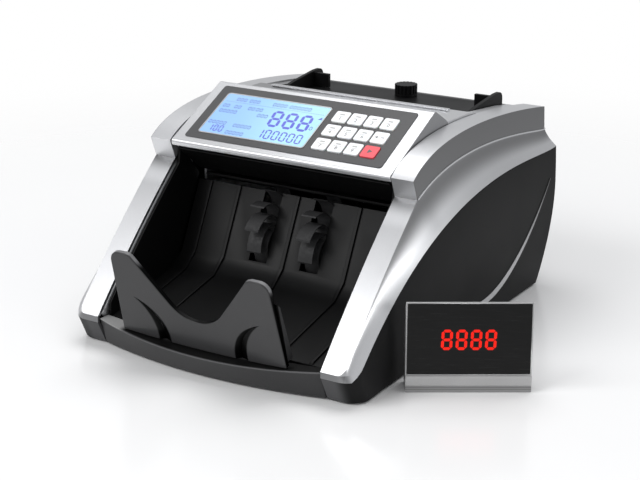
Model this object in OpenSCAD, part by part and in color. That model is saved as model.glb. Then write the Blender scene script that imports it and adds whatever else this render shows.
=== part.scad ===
/* [Body] */
// Width across the two silver side frames
frame_w = 221; // [200:1:270]
// Length from the front of the feet to the back of the side panels
body_len = 310; // [300:1:380]
// Height of the top edge of the console
body_h = 164.5; // [160:0.5:200]
// Wall of the outer shells
shell_wall = 2.5; // [2:0.1:3.2]
// How far the side panels stand out past the side frames
panel_out = 7.6; // [5:0.1:10]
// Radius of the front corners, seen from above
corner_r = 13; // [9:0.5:16]
// Width of the silver rails beside the pocket
rail_w = 17.5; // [14:0.5:22]
// Height of the dark block under each rail
block_h = 18.5; // [16:0.5:22]
// Height of the rubber feet
foot_h = 2; // [1.5:0.1:3]

/* [Console] */
// Slope of the console face in degrees
console_slope = 26.5; // [22:0.5:30]
// Length of the console face along its slope
console_len = 71.7; // [66:0.1:76]
// Distance of the console front edge behind the front of the feet
console_back = 90; // [84:0.5:96]
// Side of a square key
key_size = 11.8; // [9:0.1:12]
// Sideways step from key to key
key_pitch_x = 13.2; // [13:0.1:14.5]
// Step from key row to key row
key_pitch_s = 15.2; // [13:0.1:17]
// Clearance round a key
key_gap = 0.3; // [0.2:0.05:0.5]
// Travel of a key
key_travel = 1; // [0.6:0.1:1.4]
// Width of the display window
window_w = 91.5; // [80:0.5:94]
// Length of the display window up the slope
window_len = 46.5; // [38:0.5:50]

/* [Pocket] */
// Thickness of the stacker gate
gate_t = 4; // [3:0.1:5]
// Half width of the stacker gate at its foot
gate_half = 68; // [60:1:74]
// Height of the tips of the stacker gate
gate_h = 83; // [70:1:92]
// Thickness of the sheet parts of the pocket and hopper
sheet_t = 2; // [1.5:0.1:2.5]
// Radius of the stacker wheels
fan_r = 29; // [24:0.5:31]
// Width of a stacker wheel
fan_w = 12; // [8:0.5:16]

/* [Hopper] */
// Largest note width that the hopper guides take
note_w = 160; // [150:1:164]
// How far each hopper guide slides inwards
guide_travel = 22; // [10:1:30]
// Thickness of a hopper guide
guide_t = 3; // [2:0.1:4]

/* [Transport] */
// Thickness of the steel side plates
plate_t = 2; // [1.5:0.1:3]
// Distance between the outer faces of the steel side plates
plate_span = 176; // [160:1:178]
// Radius of the feed rollers
feed_r = 20; // [16:0.5:21]
// Radius of the pickup rollers
pickup_r = 13; // [11:0.5:14]
// Radius of the pinch rollers
pinch_r = 7; // [5:0.5:8]
// Radius of the shafts
shaft_r = 3; // [2.5:0.1:4]
// Radial clearance of a shaft in its bearing
shaft_fit = 0.05; // [0.02:0.01:0.09]
// Outer radius of a bearing
bearing_r = 6.5; // [5.5:0.1:8]
// Radius of the drive motor
motor_r = 17; // [14:0.5:18]
// Width of a drive belt
belt_w = 4; // [3:0.1:5]
// Thickness of a drive belt
belt_t = 1.2; // [1:0.1:1.5]

/* [Rear] */
// Thickness of the wire of the carrying handle
handle_d = 7; // [5:0.5:8]
// Radius of the hinge pins of the rear cover
hinge_pin_r = 2; // [1.5:0.1:2.5]
// Radius of the gap knob
knob_r = 9; // [7:0.5:12]

/* [Customer display] */
// Width of the separate customer display
cust_w = 84; // [70:1:100]
// Height of the separate customer display
cust_h = 63; // [50:1:80]
// Depth of the separate customer display at its foot
cust_d = 19; // [14:0.5:20]
// Direction that the customer display faces, in degrees from straight ahead
cust_turn = 32; // [0:1:35]

/* [Hidden] */
fine = 64;
near = 0.3;

// Main planes: the y axis runs to the back and the floor is z = 0
frame_half = frame_w / 2;
rail_in = frame_half - rail_w;
side_half = frame_half + panel_out;
plate_half = plate_span / 2;
front_y = -149;
back_y = front_y + body_len;
console_y = front_y + console_back;
apex_y = console_y + console_len * cos(console_slope);
console_z = body_h - console_len * sin(console_slope);
base_z = 1;
rail_foot_z = block_h + 4.5;
bracket_z = console_z - 14.5;

// Points on smooth curves
function curve3(a, b, c, d, t) =
  (1 - t)^3 * a + 3 * (1 - t)^2 * t * b + 3 * (1 - t) * t^2 * c + t^3 * d;
function curve2(a, b, c, t) = (1 - t)^2 * a + 2 * (1 - t) * t * b + t^2 * c;
function steps(n) = [for (i = [0 : n]) i / n];

// Side outlines as [y, z]: front edge of the rail, groove under the rib, top of the rib,
// and the line where the silver frame meets the black panel
rail_start = [front_y, rail_foot_z];
rail_end = [console_y + 6.5, bracket_z];
function rail_line(t) = curve2(rail_start, [console_y - 44, console_z - 58], rail_end, t);
function groove_line(t) = curve3(rail_end, [console_y + 77, console_z + 20],
  [back_y - 5, console_z - 15], [back_y - 7, console_z - 10], t);
function rib_line(t) = curve3([console_y, console_z - 0.5], [console_y + 39, console_z + 32],
  [back_y - 54, console_z + 15], [back_y - 9, console_z + 7.5], t);
function panel_line(t) = curve3([front_y + 4, block_h], [console_y + 29, console_z + 5],
  [back_y - 40, console_z - 30], [back_y, console_z - 25], t);
rail_share = 0.32;
function frame_line(t) = t < rail_share ? rail_line(t / rail_share)
  : groove_line((t - rail_share) / (1 - rail_share));

// Plan outline of the side: half width at a given y
corner_y = front_y + corner_r;
function side_x(y) = y >= corner_y ? side_half
  : side_half - corner_r + sqrt(corner_r^2 - (corner_y - y)^2);

// The back of the side panels leans in towards the floor
tuck_z = 80;
tuck_len = 26;
function back_inset(z) = z >= tuck_z ? 0 : tuck_len * ((tuck_z - z) / tuck_z)^1.8;
// The front of the feet leans in towards the floor
foot_lean = 9;

// Closed skin through rings of points. Every ring has the same length: its first half runs
// along the outside and its second half comes back along the inside
module loft(rings) {
  count = len(rings[0]);
  last = len(rings) - 1;
  points = [for (ring = rings) each ring];
  walls = [for (i = [0 : last - 1], j = [0 : count - 1])
    let (a = i * count + j, b = i * count + (j + 1) % count)
    each [[a, b, a + count], [b, b + count, a + count]]];
  half = count / 2;
  first_cap = [for (j = [0 : half - 2]) let (k = count - 2 - j)
    each [[j, k, j + 1], [j, k + 1, k]]];
  last_cap = [for (f = first_cap) last * count * [1, 1, 1] + [f[0], f[2], f[1]]];
  polyhedron(points, concat(walls, first_cap, last_cap));
}
function back_wards(list) = [for (i = [len(list) - 1 : -1 : 0]) list[i]];
// Ring of a sheet: its outer points and the same points moved in by one vector
function sheet_ring(outer, inwards) =
  concat(outer, back_wards([for (p = outer) p + inwards]));

// Solid between x_low and x_high with an outline drawn as [y, z]
module along_x(x_low, x_high) {
  translate([x_low, 0, 0])
    rotate([90, 0, 90])
      linear_extrude(x_high - x_low) children();
}
module rod_x(x_low, x_high, r, y, z) {
  translate([x_low, y, z])
    rotate([0, 90, 0])
      cylinder(h = x_high - x_low, r = r, $fn = fine);
}
// Sheet that follows a chain of [y, z] points, thickened below and behind the chain
function left_side(p, q) = [p[1] - q[1], q[0] - p[0]] / norm(q - p);
module bent_sheet(chain, t) {
  for (i = [0 : len(chain) - 2]) {
    side = left_side(chain[i], chain[i + 1]) * t;
    polygon([chain[i], chain[i + 1], chain[i + 1] - side, chain[i] - side]);
  }
  for (i = [1 : len(chain) - 2]) {
    side_a = left_side(chain[i - 1], chain[i]) * t;
    side_b = left_side(chain[i], chain[i + 1]) * t;
    polygon([chain[i], chain[i] - side_a, chain[i] - side_b]);
  }
}
module both_sides() {
  children();
  mirror([1, 0, 0]) children();
}
// Console face frame: x across, y up the slope, z out of the face
module on_console() {
  translate([0, console_y, console_z])
    rotate([console_slope, 0, 0]) children();
}

// ---- Floor: pan, feet and front fascia ----
pan_half = side_half - shell_wall - 1.6;
pan_front = front_y + foot_lean + shell_wall;
pan_back = back_y - tuck_len - 8;
pan_floor_t = 2.5;
pan_floor = foot_h + pan_floor_t;
pan_rim_h = 8;
pan_rim_t = 2;
foot_r = 9;
foot_inset = 16;

module pan_outline(inset) {
  h = pan_half - inset;
  f = pan_front + inset;
  cut = corner_r;
  polygon([[-h, f + cut], [-h + cut, f], [h - cut, f], [h, f + cut],
    [h, pan_back - inset], [-h, pan_back - inset]]);
}

// Posts that carry the boards in the bottom of the machine
post_r = 3;
board_z = 12;
board_t = 1.6;
main_x = [-80, 0];
supply_x = [14, 80];
board_y = [74, pan_back - 4];
post_inset = 5;
module board_posts(xs) {
  for (x = [xs[0] + post_inset, xs[1] - post_inset], y = [board_y[0] + post_inset,
    board_y[1] - post_inset])
    translate([x, y, pan_floor - 0.5])
      cylinder(h = board_z - pan_floor + 0.2, r = post_r, $fn = fine);
}

module base_pan() {
  color([0.1, 0.1, 0.11]) {
    difference() {
      translate([0, 0, foot_h]) linear_extrude(pan_rim_h) pan_outline(0);
      translate([0, 0, pan_floor]) linear_extrude(pan_rim_h) pan_outline(pan_rim_t);
    }
    board_posts(main_x);
    board_posts(supply_x);
    // Blocks under the feet of the two side plates
    both_sides()
      translate([plate_half + 2, plate_foot_y[0], pan_floor - 0.5])
        cube([plate_foot_w - 3, plate_foot_y[1] - plate_foot_y[0], plate_z - pan_floor + 0.2]);
  }
}

// Four feet in the corners and one under the middle of the floor
module rubber_feet() {
  color([0.05, 0.05, 0.05]) {
    cylinder(h = foot_h, r = foot_r, $fn = fine);
    both_sides()
      for (y = [pan_front + foot_inset + 4, pan_back - foot_inset])
        translate([pan_half - foot_inset, y, 0])
          cylinder(h = foot_h, r = foot_r, $fn = fine);
  }
}

// Bowed front: b is 0 at the ends and 1 in the middle
fascia_half = rail_in - 0.3;
ledge_y = front_y + 11;
function bow(x) = 1 - (x / fascia_half)^2;
function ledge_z(x) = rail_foot_z - 1.6 - 4.5 * bow(x);
function fascia_top_y(x) = front_y + 1.8 - 13.5 * bow(x);
function fascia_foot_y(x) = front_y + 8 - 12.5 * bow(x);
function fascia_ring(x) = [
  [x, fascia_foot_y(x), base_z],
  [x, fascia_top_y(x), ledge_z(x)],
  [x, ledge_y, ledge_z(x)],
  [x, ledge_y, ledge_z(x) - sheet_t],
  [x, fascia_top_y(x) + shell_wall, ledge_z(x) - sheet_t],
  [x, fascia_foot_y(x) + shell_wall, base_z]
];
module front_fascia() {
  color([0.3, 0.3, 0.31]) {
    loft([for (s = steps(28)) fascia_ring(-fascia_half + 2 * fascia_half * s)]);
    both_sides()
      for (x = [24, 66])
        along_x(x, x + 2)
          polygon([[fascia_foot_y(x) + 1.2, foot_h + 1.5], [pan_front - near, foot_h + 1.5],
            [pan_front - near, foot_h + 11], [fascia_top_y(x) + 1.5, ledge_z(x) - 1]]);
  }
}

// ---- Silver side frames ----
seam = 0.3;
cheek_t = 2;
cheek_depth = 14;
flare_power = 1.7;
flare_x = frame_half - 0.6;
// The flare starts just inside the walls of the rail and the rib
function flare_start(t) = t < rail_share ? 0.03 : -0.05;
function flare_point(t, w) =
  let (a = frame_line(t), b = panel_line(t))
  [flare_x + (side_x(b[0]) - flare_x) * max(0, w)^flare_power,
    a[0] + (b[0] - a[0]) * w, a[1] + (b[1] - a[1]) * w];
function flare_side(t) = [for (w = back_wards(steps(5)))
  flare_point(t, flare_start(t) + (1 - flare_start(t)) * w)];
flare_front = [for (w = back_wards(steps(5)))
  [flare_x - 0.4, front_y + 0.2, rail_foot_z - 0.4 - w * (rail_foot_z - block_h - 0.4)]];
flare_end = [for (p = flare_side(1)) p + [0, 0.5, 0]];
flare_rings = concat(
  [sheet_ring(flare_front, [-shell_wall, 0, 0])],
  [for (i = [0 : 30]) sheet_ring(flare_side(i / 31.5), [-shell_wall, 0, 0])],
  [sheet_ring(flare_end, [-shell_wall, -shell_wall, 0])],
  [sheet_ring([for (p = flare_end) [rail_in + 1, p[1], p[2]]], [0, -shell_wall, 0])]);
rail_chain = concat([[front_y, block_h]], [for (s = steps(10)) rail_line(s)],
  [rail_end + [6, 5]]);
bracket_chain = [rail_end + [0.6, -1.4], rib_line(0)];
rib_chain = [for (s = steps(24)) rib_line(s)];
groove_chain = [for (s = steps(24)) groove_line(s)];

module side_shell() {
  color([0.78, 0.78, 0.8]) {
    loft(flare_rings);
    // Rail beside the pocket
    along_x(rail_in, frame_half) bent_sheet(rail_chain, shell_wall);
    along_x(rail_in, rail_in + cheek_t) bent_sheet(rail_chain, cheek_depth);
    // Rib along the top, from the bracket to the back
    along_x(rail_in, frame_half) bent_sheet(rib_chain, shell_wall);
    along_x(rail_in, rail_in + cheek_t) bent_sheet(rib_chain, cheek_depth);
    along_x(rail_in, frame_half) bent_sheet(bracket_chain, shell_wall);
    along_x(rail_in, frame_half) bent_sheet([rib_line(1), groove_line(1)], shell_wall);
    along_x(frame_half - shell_wall, frame_half)
      polygon(concat(rib_chain, back_wards(groove_chain)));
  }
}
module side_shell_right() { side_shell(); }
module side_shell_left() { mirror([1, 0, 0]) side_shell(); }

// ---- Black side panels with the foot blocks ----
panel_bulge = 1.3;
panel_tumble = 0.8;
lean_end = front_y + 90;
tuck_start = back_y - 120;
function part_of(a, b, v) = max(0, min(1, (v - a) / (b - a)));
function lean_shift(y, z) = foot_lean * max(0, 1 - z / block_h) * (1 - part_of(front_y, lean_end, y));
function tuck_shift(y, z) = -back_inset(z) * part_of(tuck_start, back_y, y);
function bulge(y, v) = part_of(corner_y, corner_y + 30, y)
  * (panel_bulge * 4 * v * (1 - v) - panel_tumble * (1 - v)^2);
panel_v = steps(7);
function panel_ring(x, y, top, inwards) = sheet_ring([for (v = panel_v)
  let (z = base_z + (top - seam - base_z) * v)
  [x + bulge(y, v), y + lean_shift(y, z) + tuck_shift(y, z), z]], inwards);
function corner_in(p) = let (d = [side_half - corner_r, corner_y] - p)
  shell_wall * [d[0], d[1], 0] / norm(d);
corner_x = side_half - corner_r;
panel_rings = concat(
  [for (s = steps(3)) panel_ring(rail_in + seam + (corner_x - rail_in - seam) * s, front_y, block_h,
    [0, shell_wall, 0])],
  [let (a = 22, p = [corner_x + corner_r * sin(a), corner_y - corner_r * cos(a)])
    panel_ring(p[0], p[1], block_h, corner_in(p))],
  [for (t = steps(32)) let (e = panel_line(t), x = side_x(e[0]))
    panel_ring(x, e[0], e[1], e[0] < corner_y ? corner_in([x, e[0]])
      : t < 1 ? [-shell_wall, 0, 0] : [-shell_wall, -shell_wall, 0])],
  [panel_ring(rail_in + 2, back_y, panel_line(1)[1], [0, -shell_wall, 0])]);

module side_panel() {
  color([0.09, 0.09, 0.09]) loft(panel_rings);
}
module side_panel_right() { side_panel(); }
module side_panel_left() { mirror([1, 0, 0]) side_panel(); }

// Silver stripe: a thin crescent that lies on each black panel
panel_edge = [for (t = steps(40)) panel_line(t)];
function panel_top(y) = lookup(y, panel_edge);
function panel_face_x(y, z) = side_half + bulge(y, (z - base_z) / (panel_top(y) - base_z));
stripe_t = 0.6;
stripe_w = 8;
stripe_top = [back_y - 11, 84];
stripe_mid = [back_y - 82, 3];
stripe_foot = [back_y - 141, 18];
function stripe_line(t) = curve2(stripe_top, stripe_mid, stripe_foot, t);
function stripe_ring(t) =
  let (p = stripe_line(t), half = 0.3 + stripe_w / 2 * t,
    a = p + [-half, half * 0.6], b = p + [half, -half * 0.6])
  [[panel_face_x(a[0], a[1]) + 0.05, a[0], a[1]],
    [panel_face_x(a[0], a[1]) + stripe_t, a[0], a[1]],
    [panel_face_x(b[0], b[1]) + stripe_t, b[0], b[1]],
    [panel_face_x(b[0], b[1]) + 0.05, b[0], b[1]]];
module side_stripes() {
  color([0.62, 0.62, 0.64])
    both_sides() loft([for (s = steps(24)) stripe_ring(s)]);
}

// ---- Console ----
housing_half = rail_in - 0.7;
lip_h = 4.2;
lip_back = 1.4;
head_front = [console_y, console_z];
head_lip = [console_y + lip_back, console_z - lip_h];
head_top = [apex_y, body_h];
head_back = [apex_y + 18.1, body_h - 10.6];
head_foot = [head_back[0], head_back[1] - 4];
overlay_x = [-84, 82];
overlay_s = [6.3, 66.5];
overlay_t = 0.5;
touch = 0.05;
window_x = -76;
window_s = 12.5;
window_rim = 2;
window_t = 1;
face_t = shell_wall;
key_x0 = 27;
key_s0 = 50.1;
key_top = 1.5;
key_bottom = -(face_t + 1.7);
key_flange = 0.7;
function key_x(col) = key_x0 + col * key_pitch_x;
function key_s(row) = key_s0 - row * key_pitch_s;
switch_h = 0.4;
console_board_top = key_bottom - key_travel - 0.2 - switch_h;
board_margin = 11.6;
console_post_in = 2.6;
console_board_x = [key_x(0) - board_margin, key_x(3) + board_margin];
console_board_s = [key_s(2) - board_margin, key_s(0) + board_margin];
// The flange under the lip runs back below the front edge of the key board
lip_return = 9;
board_room = 0.5;
lip_drop = console_board_s[0] * sin(console_slope)
  + (console_board_top - board_t) * cos(console_slope) - board_room - sheet_t + lip_h;

// Square block on the console face, centred on a key
module at_key(col, row, side, low, high) {
  translate([key_x(col) - side / 2, key_s(row) - side / 2, low])
    cube([side, side, high - low]);
}
module all_keys(side, low, high) {
  for (col = [0 : 3], row = [0 : 2]) at_key(col, row, side, low, high);
}
module window_block(grow, low, high) {
  translate([window_x - grow, window_s - grow, low])
    cube([window_w + 2 * grow, window_len + 2 * grow, high - low]);
}

module console_housing() {
  color([0.82, 0.82, 0.84]) {
    difference() {
      union() {
        along_x(-housing_half, housing_half)
          bent_sheet([head_lip, head_front, head_top, head_back, head_foot], face_t);
        along_x(-housing_half, housing_half)
          bent_sheet([head_lip + [lip_return, lip_drop], head_lip], sheet_t);
        both_sides()
          along_x(housing_half - shell_wall, housing_half)
            polygon([head_lip, head_front, head_top, head_back, head_foot]);
      }
      on_console() {
        all_keys(key_size + 2 * key_gap, -face_t - 1, 1);
        window_block(-window_rim, -face_t - 1, 1);
      }
    }
    // Posts that hold the key board
    on_console()
      for (x = [console_board_x[0] + console_post_in, console_board_x[1] - console_post_in],
        s = [console_board_s[0] + console_post_in, console_board_s[1] - console_post_in])
        translate([x, s, console_board_top + touch])
          cylinder(h = -face_t - console_board_top + 0.5, r = 2, $fn = fine);
  }
}

module keypad_overlay() {
  color([0.3, 0.3, 0.31])
    on_console()
      difference() {
        translate([overlay_x[0], overlay_s[0], touch])
          cube([overlay_x[1] - overlay_x[0], overlay_s[1] - overlay_s[0], overlay_t]);
        all_keys(key_size + 2 * key_gap, -1, 2);
        window_block(0.2, -1, 2);
      }
}

module display_window() {
  color([0.62, 0.84, 1, 0.6])
    on_console() window_block(0, touch, window_t);
}

module display_module() {
  color([0.35, 0.5, 0.75])
    on_console() {
      window_block(-window_rim - 0.5, -4.6, -0.3);
      window_block(-window_rim - 4, -6.4, -4.6);
    }
}

module console_board() {
  color([0.1, 0.36, 0.2])
    on_console() {
      translate([console_board_x[0], console_board_s[0], console_board_top - board_t])
        cube([console_board_x[1] - console_board_x[0], console_board_s[1] - console_board_s[0],
          board_t]);
      for (col = [0 : 3], row = [0 : 2])
        translate([key_x(col), key_s(row), console_board_top - 0.2])
          cylinder(h = switch_h + 0.2, r = 3, $fn = fine);
      for (s = [18, 34])
        translate([key_x(1), s, console_board_top - board_t - 2])
          cube([12, 9, 2.2]);
    }
}

module key(col, row, tint) {
  color(tint)
    on_console() {
      at_key(col, row, key_size, key_bottom, key_top);
      at_key(col, row, key_size + 1.4, key_bottom, key_bottom + key_flange);
    }
}
key_white = [0.95, 0.95, 0.95];
key_red = [0.93, 0.36, 0.38];
module key_1() { key(0, 0, key_white); }
module key_2() { key(1, 0, key_white); }
module key_3() { key(2, 0, key_white); }
module key_0() { key(3, 0, key_white); }
module key_4() { key(0, 1, key_white); }
module key_5() { key(1, 1, key_white); }
module key_6() { key(2, 1, key_white); }
module key_batch() { key(3, 1, key_white); }
module key_7() { key(0, 2, key_white); }
module key_8() { key(1, 2, key_white); }
module key_9() { key(2, 2, key_white); }
module key_start() { key(3, 2, key_red); }

// ---- Stacker pocket ----
gate_lean = 15;
gate_y = front_y - 2.4;
gate_horn_x = 57;
gate_horn_r = 8;
gate_valley_z = 40;
gate_shoulder = 3;
gate_web_gap = 0.5;
gate_arch_depth = 2.4;
function gate_v(z) = z / cos(gate_lean);
function gate_foot(x) = [x, gate_v(ledge_z(x) + gate_web_gap)];
// The gate stands on a plane that leans forward: x across, y up the plane, z towards the front
module on_gate() {
  translate([0, gate_y + rail_foot_z * tan(gate_lean), 0])
    rotate([90 + gate_lean, 0, 0]) children();
}
module gate_outline() {
  valley_w = 27;
  difference() {
    hull() {
      polygon([for (s = steps(20)) gate_foot(-gate_half + 2 * gate_half * s)]);
      for (x = [-1, 1])
        translate([x * (gate_half - gate_shoulder - gate_horn_r), gate_v(gate_h) - gate_horn_r])
          circle(gate_horn_r, $fn = 32);
    }
    hull() {
      translate([0, gate_v(gate_valley_z) + valley_w]) circle(valley_w, $fn = 48);
      for (x = [-1, 1])
        translate([x * (gate_horn_x - 9), gate_v(gate_h) + 1]) square(2, center = true);
    }
    polygon([for (s = steps(20)) gate_foot(-gate_half + 2 * gate_half * s)]);
  }
}
// Crescent recess that runs from the foot of the web up into each horn
function arch_outer(t) = curve2(gate_foot(29), [27, gate_v(42)], [53, gate_v(50)], t);
function arch_inner(t) = curve2(gate_foot(38), [34, gate_v(38)], [53, gate_v(50)], t);
module gate_arch() {
  polygon(concat([[29, 0]], [for (s = steps(12)) arch_outer(s)],
    back_wards([for (s = steps(12)) arch_inner(s)]), [[38, 0]]));
}
module stacker_gate() {
  flange_t = 3;
  color([0.29, 0.29, 0.3]) {
    difference() {
      on_gate() translate([0, 0, -gate_t]) linear_extrude(gate_t) gate_outline();
      on_gate() both_sides()
        translate([0, 0, -gate_arch_depth]) linear_extrude(gate_t) gate_arch();
    }
    // Side flanges that stiffen the horns and stand on the ledge
    both_sides()
      on_gate()
        translate([gate_half - flange_t - 0.6, 0, -gate_t - 6])
          rotate([90, 0, 90])
            linear_extrude(flange_t)
              polygon([[gate_foot(gate_half)[1] + 0.5, 0], [gate_foot(gate_half)[1] + 0.5, 7],
                [gate_v(gate_h) - 16, 7], [gate_v(gate_h) - 20, 4]]);
  }
}

stacker_y = console_y + 29;
stacker_z = console_z - 62.5;
deck_front = [ledge_y + 0.5, rail_foot_z - 2.6];
deck_toe = [console_y - 7, 36];
deck_heel = [stacker_y - 23, stacker_z - 24];
deck_top = [stacker_y + 2, stacker_z + 26];
deck_chain = [deck_front, deck_toe, deck_heel, deck_top];
deck_half = rail_in - 3.4;
fan_x = 22;
fan_side_gap = 1.5;
module fan_slots() {
  both_sides()
    rod_x(fan_x - fan_w / 2 - fan_side_gap, fan_x + fan_w / 2 + fan_side_gap,
      fan_r + 1.5, stacker_y, stacker_z);
}
module stacker_deck() {
  rib_h = 1.2;
  color([0.07, 0.07, 0.07])
    difference() {
      union() {
        along_x(-deck_half, deck_half) bent_sheet(deck_chain, sheet_t);
        for (x = [-78, -52, 0, 52, 78])
          along_x(x - 1.5, x + 1.5)
            polygon([deck_front, deck_front + [2, rib_h + 0.8], deck_toe + [0, rib_h + 0.4],
              deck_heel + [-0.8, rib_h + 0.6], deck_top + [-rib_h - 0.4, 0.4], deck_top,
              deck_heel, deck_toe]);
      }
      fan_slots();
      fan_belt_room();
    }
}

wall_t = 2;
module pocket_wall() {
  edge = 2.6;
  color([0.06, 0.06, 0.06])
    along_x(rail_in - 3, rail_in - 3 + wall_t)
      polygon(concat([[pan_front + 3, pan_floor + 0.3], [pan_front + 3, rail_foot_z - 2.5],
        [ledge_y + 0.4, rail_foot_z - 2.5], [ledge_y + 0.4, rail_foot_z + 3]],
        [for (s = steps(8)) rail_line(0.1 + 0.88 * s) + [edge, -edge]],
        [[console_y + 9, console_z - 6], [stacker_y + 3, stacker_z + 30],
          deck_top + [-2, 0], deck_heel + [-2, 1], [stacker_y - 30, pan_floor + 0.3]]));
}
module pocket_wall_right() { pocket_wall(); }
module pocket_wall_left() { mirror([1, 0, 0]) pocket_wall(); }

// ---- Note path inside ----
feed_y = console_y + 65;
feed_z = body_h - 52.5;
pickup_y = feed_y + 36;
pickup_z = feed_z + 15;
pinch_angle = -45;
pinch_y = feed_y + (feed_r + pinch_r + near) * cos(pinch_angle);
pinch_z = feed_z + (feed_r + pinch_r + near) * sin(pinch_angle);
path_gap = 2;
guide_half = plate_half - plate_t - 0.4;
chute_t = 1.6;
module sector(r_low, r_high, a, b) {
  far = 2 * r_high;
  intersection() {
    difference() {
      circle(r_high, $fn = 96);
      circle(r_low, $fn = 96);
    }
    polygon([[0, 0], for (s = steps(4)) far * [cos(a + (b - a) * s), sin(a + (b - a) * s)]]);
  }
}
module transport_guides() {
  r_low = feed_r + path_gap;
  r_high = r_low + chute_t;
  exit_a = -140;
  exit_p = [feed_y, feed_z] + r_high * [cos(exit_a), sin(exit_a)];
  color([0.08, 0.08, 0.08]) {
    // Ceiling of the pocket
    along_x(-deck_half, deck_half)
      bent_sheet([deck_top + [1, 8], [console_y + 4.5, console_z - 7]], chute_t);
    // Curved guide under the feed rollers, cut for the pinch rollers
    difference() {
      along_x(-guide_half, guide_half) {
        translate([feed_y, feed_z]) sector(r_low, r_high, exit_a, 15);
        polygon([exit_p + [1.15, 0.18], exit_p + [0.4, 1.8], deck_top + [2.5, 5],
          deck_top + [2.5, 3.2]]);
      }
      both_sides()
        rod_x(roller_x - pinch_w / 2 - 1, roller_x + pinch_w / 2 + 1, pinch_r + 1,
          pinch_y, pinch_z);
    }
  }
}

// ---- Hopper ----
trough_half = note_w / 2 + guide_t + 1;
trough_wall = 2;
tray_z = body_h - 24.9;
tray_front = [pickup_y - 6, tray_z - 2];
tray_bend = [pickup_y + 18, tray_z];
tray_rear = [back_y - 20, tray_z];
land_chain = [[head_back[0] + 1.3, console_z + 19.3], [head_back[0] + 52, console_z + 16],
  [back_y - 43, console_z + 11.8], [back_y - 20, console_z + 8.2]];
roller_x = 28;
pickup_w = 14;
feed_w = 18;
pinch_w = 16;
guide_slot_y = tray_bend[0] + 32;
guide_peg_r = 2.5;
knob_y = back_y - 31;
knob_stem_r = 2;
module hopper_tray() {
  color([0.06, 0.06, 0.06])
    difference() {
      union() {
        along_x(-trough_half, trough_half) {
          bent_sheet([tray_front, tray_bend, tray_rear], sheet_t);
          translate([tray_rear[0] - sheet_t, tray_z - 14]) square([sheet_t, 13]);
        }
        both_sides()
          along_x(trough_half, trough_half + trough_wall)
            polygon(concat([tray_front + [0, -sheet_t], tray_front, land_chain[0] + [4, -3]],
              [for (i = [1 : 3]) land_chain[i] + [0, -sheet_t - near]],
              [tray_rear + [0, -sheet_t], tray_bend + [0, -sheet_t]]));
      }
      // Slots for the pickup rollers
      both_sides()
        rod_x(roller_x - pickup_w / 2 - 1, roller_x + pickup_w / 2 + 1, pickup_r + 1.2,
          pickup_y, pickup_z);
      // Slots for the pegs of the two guides
      both_sides()
        translate([note_w / 2 + guide_t / 2 - guide_travel - guide_peg_r - 1,
          guide_slot_y - guide_peg_r - near, tray_z - 5])
          cube([guide_travel + 2 * guide_peg_r + 2, 2 * (guide_peg_r + near), 10]);
      translate([0, knob_y, tray_z - 5]) cylinder(h = 10, r = knob_stem_r + shaft_fit, $fn = fine);
    }
}

// Plate behind the console head, with a low rim in front of the notes
lip_t = 1.6;
plate_chain = [[head_back[0] + 0.6, body_h - 11.5], [head_back[0] + 36.7, body_h - 12.2]];
rim_half = note_w / 2 - 2.5;
rim_foot = plate_chain[1] - [4.2, lip_t / 2];
rim_h = lip_t / 2 + 1.8;
rim_over = 3.6;
rim_lip = 0.8;
module hopper_lip() {
  lip_half = housing_half - 3;
  land_in = trough_half + touch;
  wall_foot = [head_back[0] + 9, tray_z - 1];
  wall_knee = [head_back[0] + 4, console_z + 17];
  wall_top = plate_chain[0] + [lip_t + 1, -lip_t / 2];
  color([0.74, 0.74, 0.76]) {
    along_x(-lip_half, lip_half) bent_sheet([wall_top, wall_knee, wall_foot], lip_t);
    along_x(-rail_in + 0.6, rail_in - 0.6) bent_sheet(plate_chain, lip_t);
    along_x(-rim_half, rim_half)
      polygon([rim_foot, rim_foot + [0, rim_h], rim_foot + [-rim_over, rim_h],
        rim_foot + [-rim_over, rim_h - rim_lip], rim_foot + [-lip_t, rim_h - rim_lip],
        rim_foot + [-lip_t, 0]]);
    both_sides()
      along_x(land_in, rail_in - 0.6) {
        bent_sheet(land_chain, sheet_t);
        polygon([land_chain[0], plate_chain[0] + [1, -lip_t / 2],
          plate_chain[1] + [0, -lip_t / 2], land_chain[1]]);
      }
    both_sides()
      along_x(land_in, trough_half + trough_wall)
        polygon([wall_knee + [-1, 0], land_chain[0], land_chain[0] + [2, -3],
          wall_knee + [2, -5]]);
  }
}

module note_guide() {
  low = tray_z + near;
  flange_w = 14;
  flange_y = tray_rear[0] - 22;
  end_y = flange_y + 9;
  end_r = 5.6;
  top = low + 12.6;
  color([0.05, 0.05, 0.05]) {
    along_x(note_w / 2, note_w / 2 + guide_t) {
      polygon([[tray_bend[0] + 2, low], [tray_bend[0] + 2, low + 4], [flange_y - 30, low + 9],
        [flange_y + 2, top], [end_y, top], [end_y, low]]);
      translate([end_y, top - end_r]) circle(end_r, $fn = 40);
      translate([end_y, low]) square([end_r, top - end_r - low]);
    }
    translate([note_w / 2 - flange_w, flange_y, low]) cube([flange_w + 1, guide_t, 11]);
    translate([note_w / 2 + guide_t / 2, guide_slot_y, tray_z - sheet_t - 2])
      cylinder(h = sheet_t + 4, r = guide_peg_r, $fn = fine);
  }
}
module note_guide_right() { note_guide(); }
module note_guide_left() { mirror([1, 0, 0]) note_guide(); }

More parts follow.
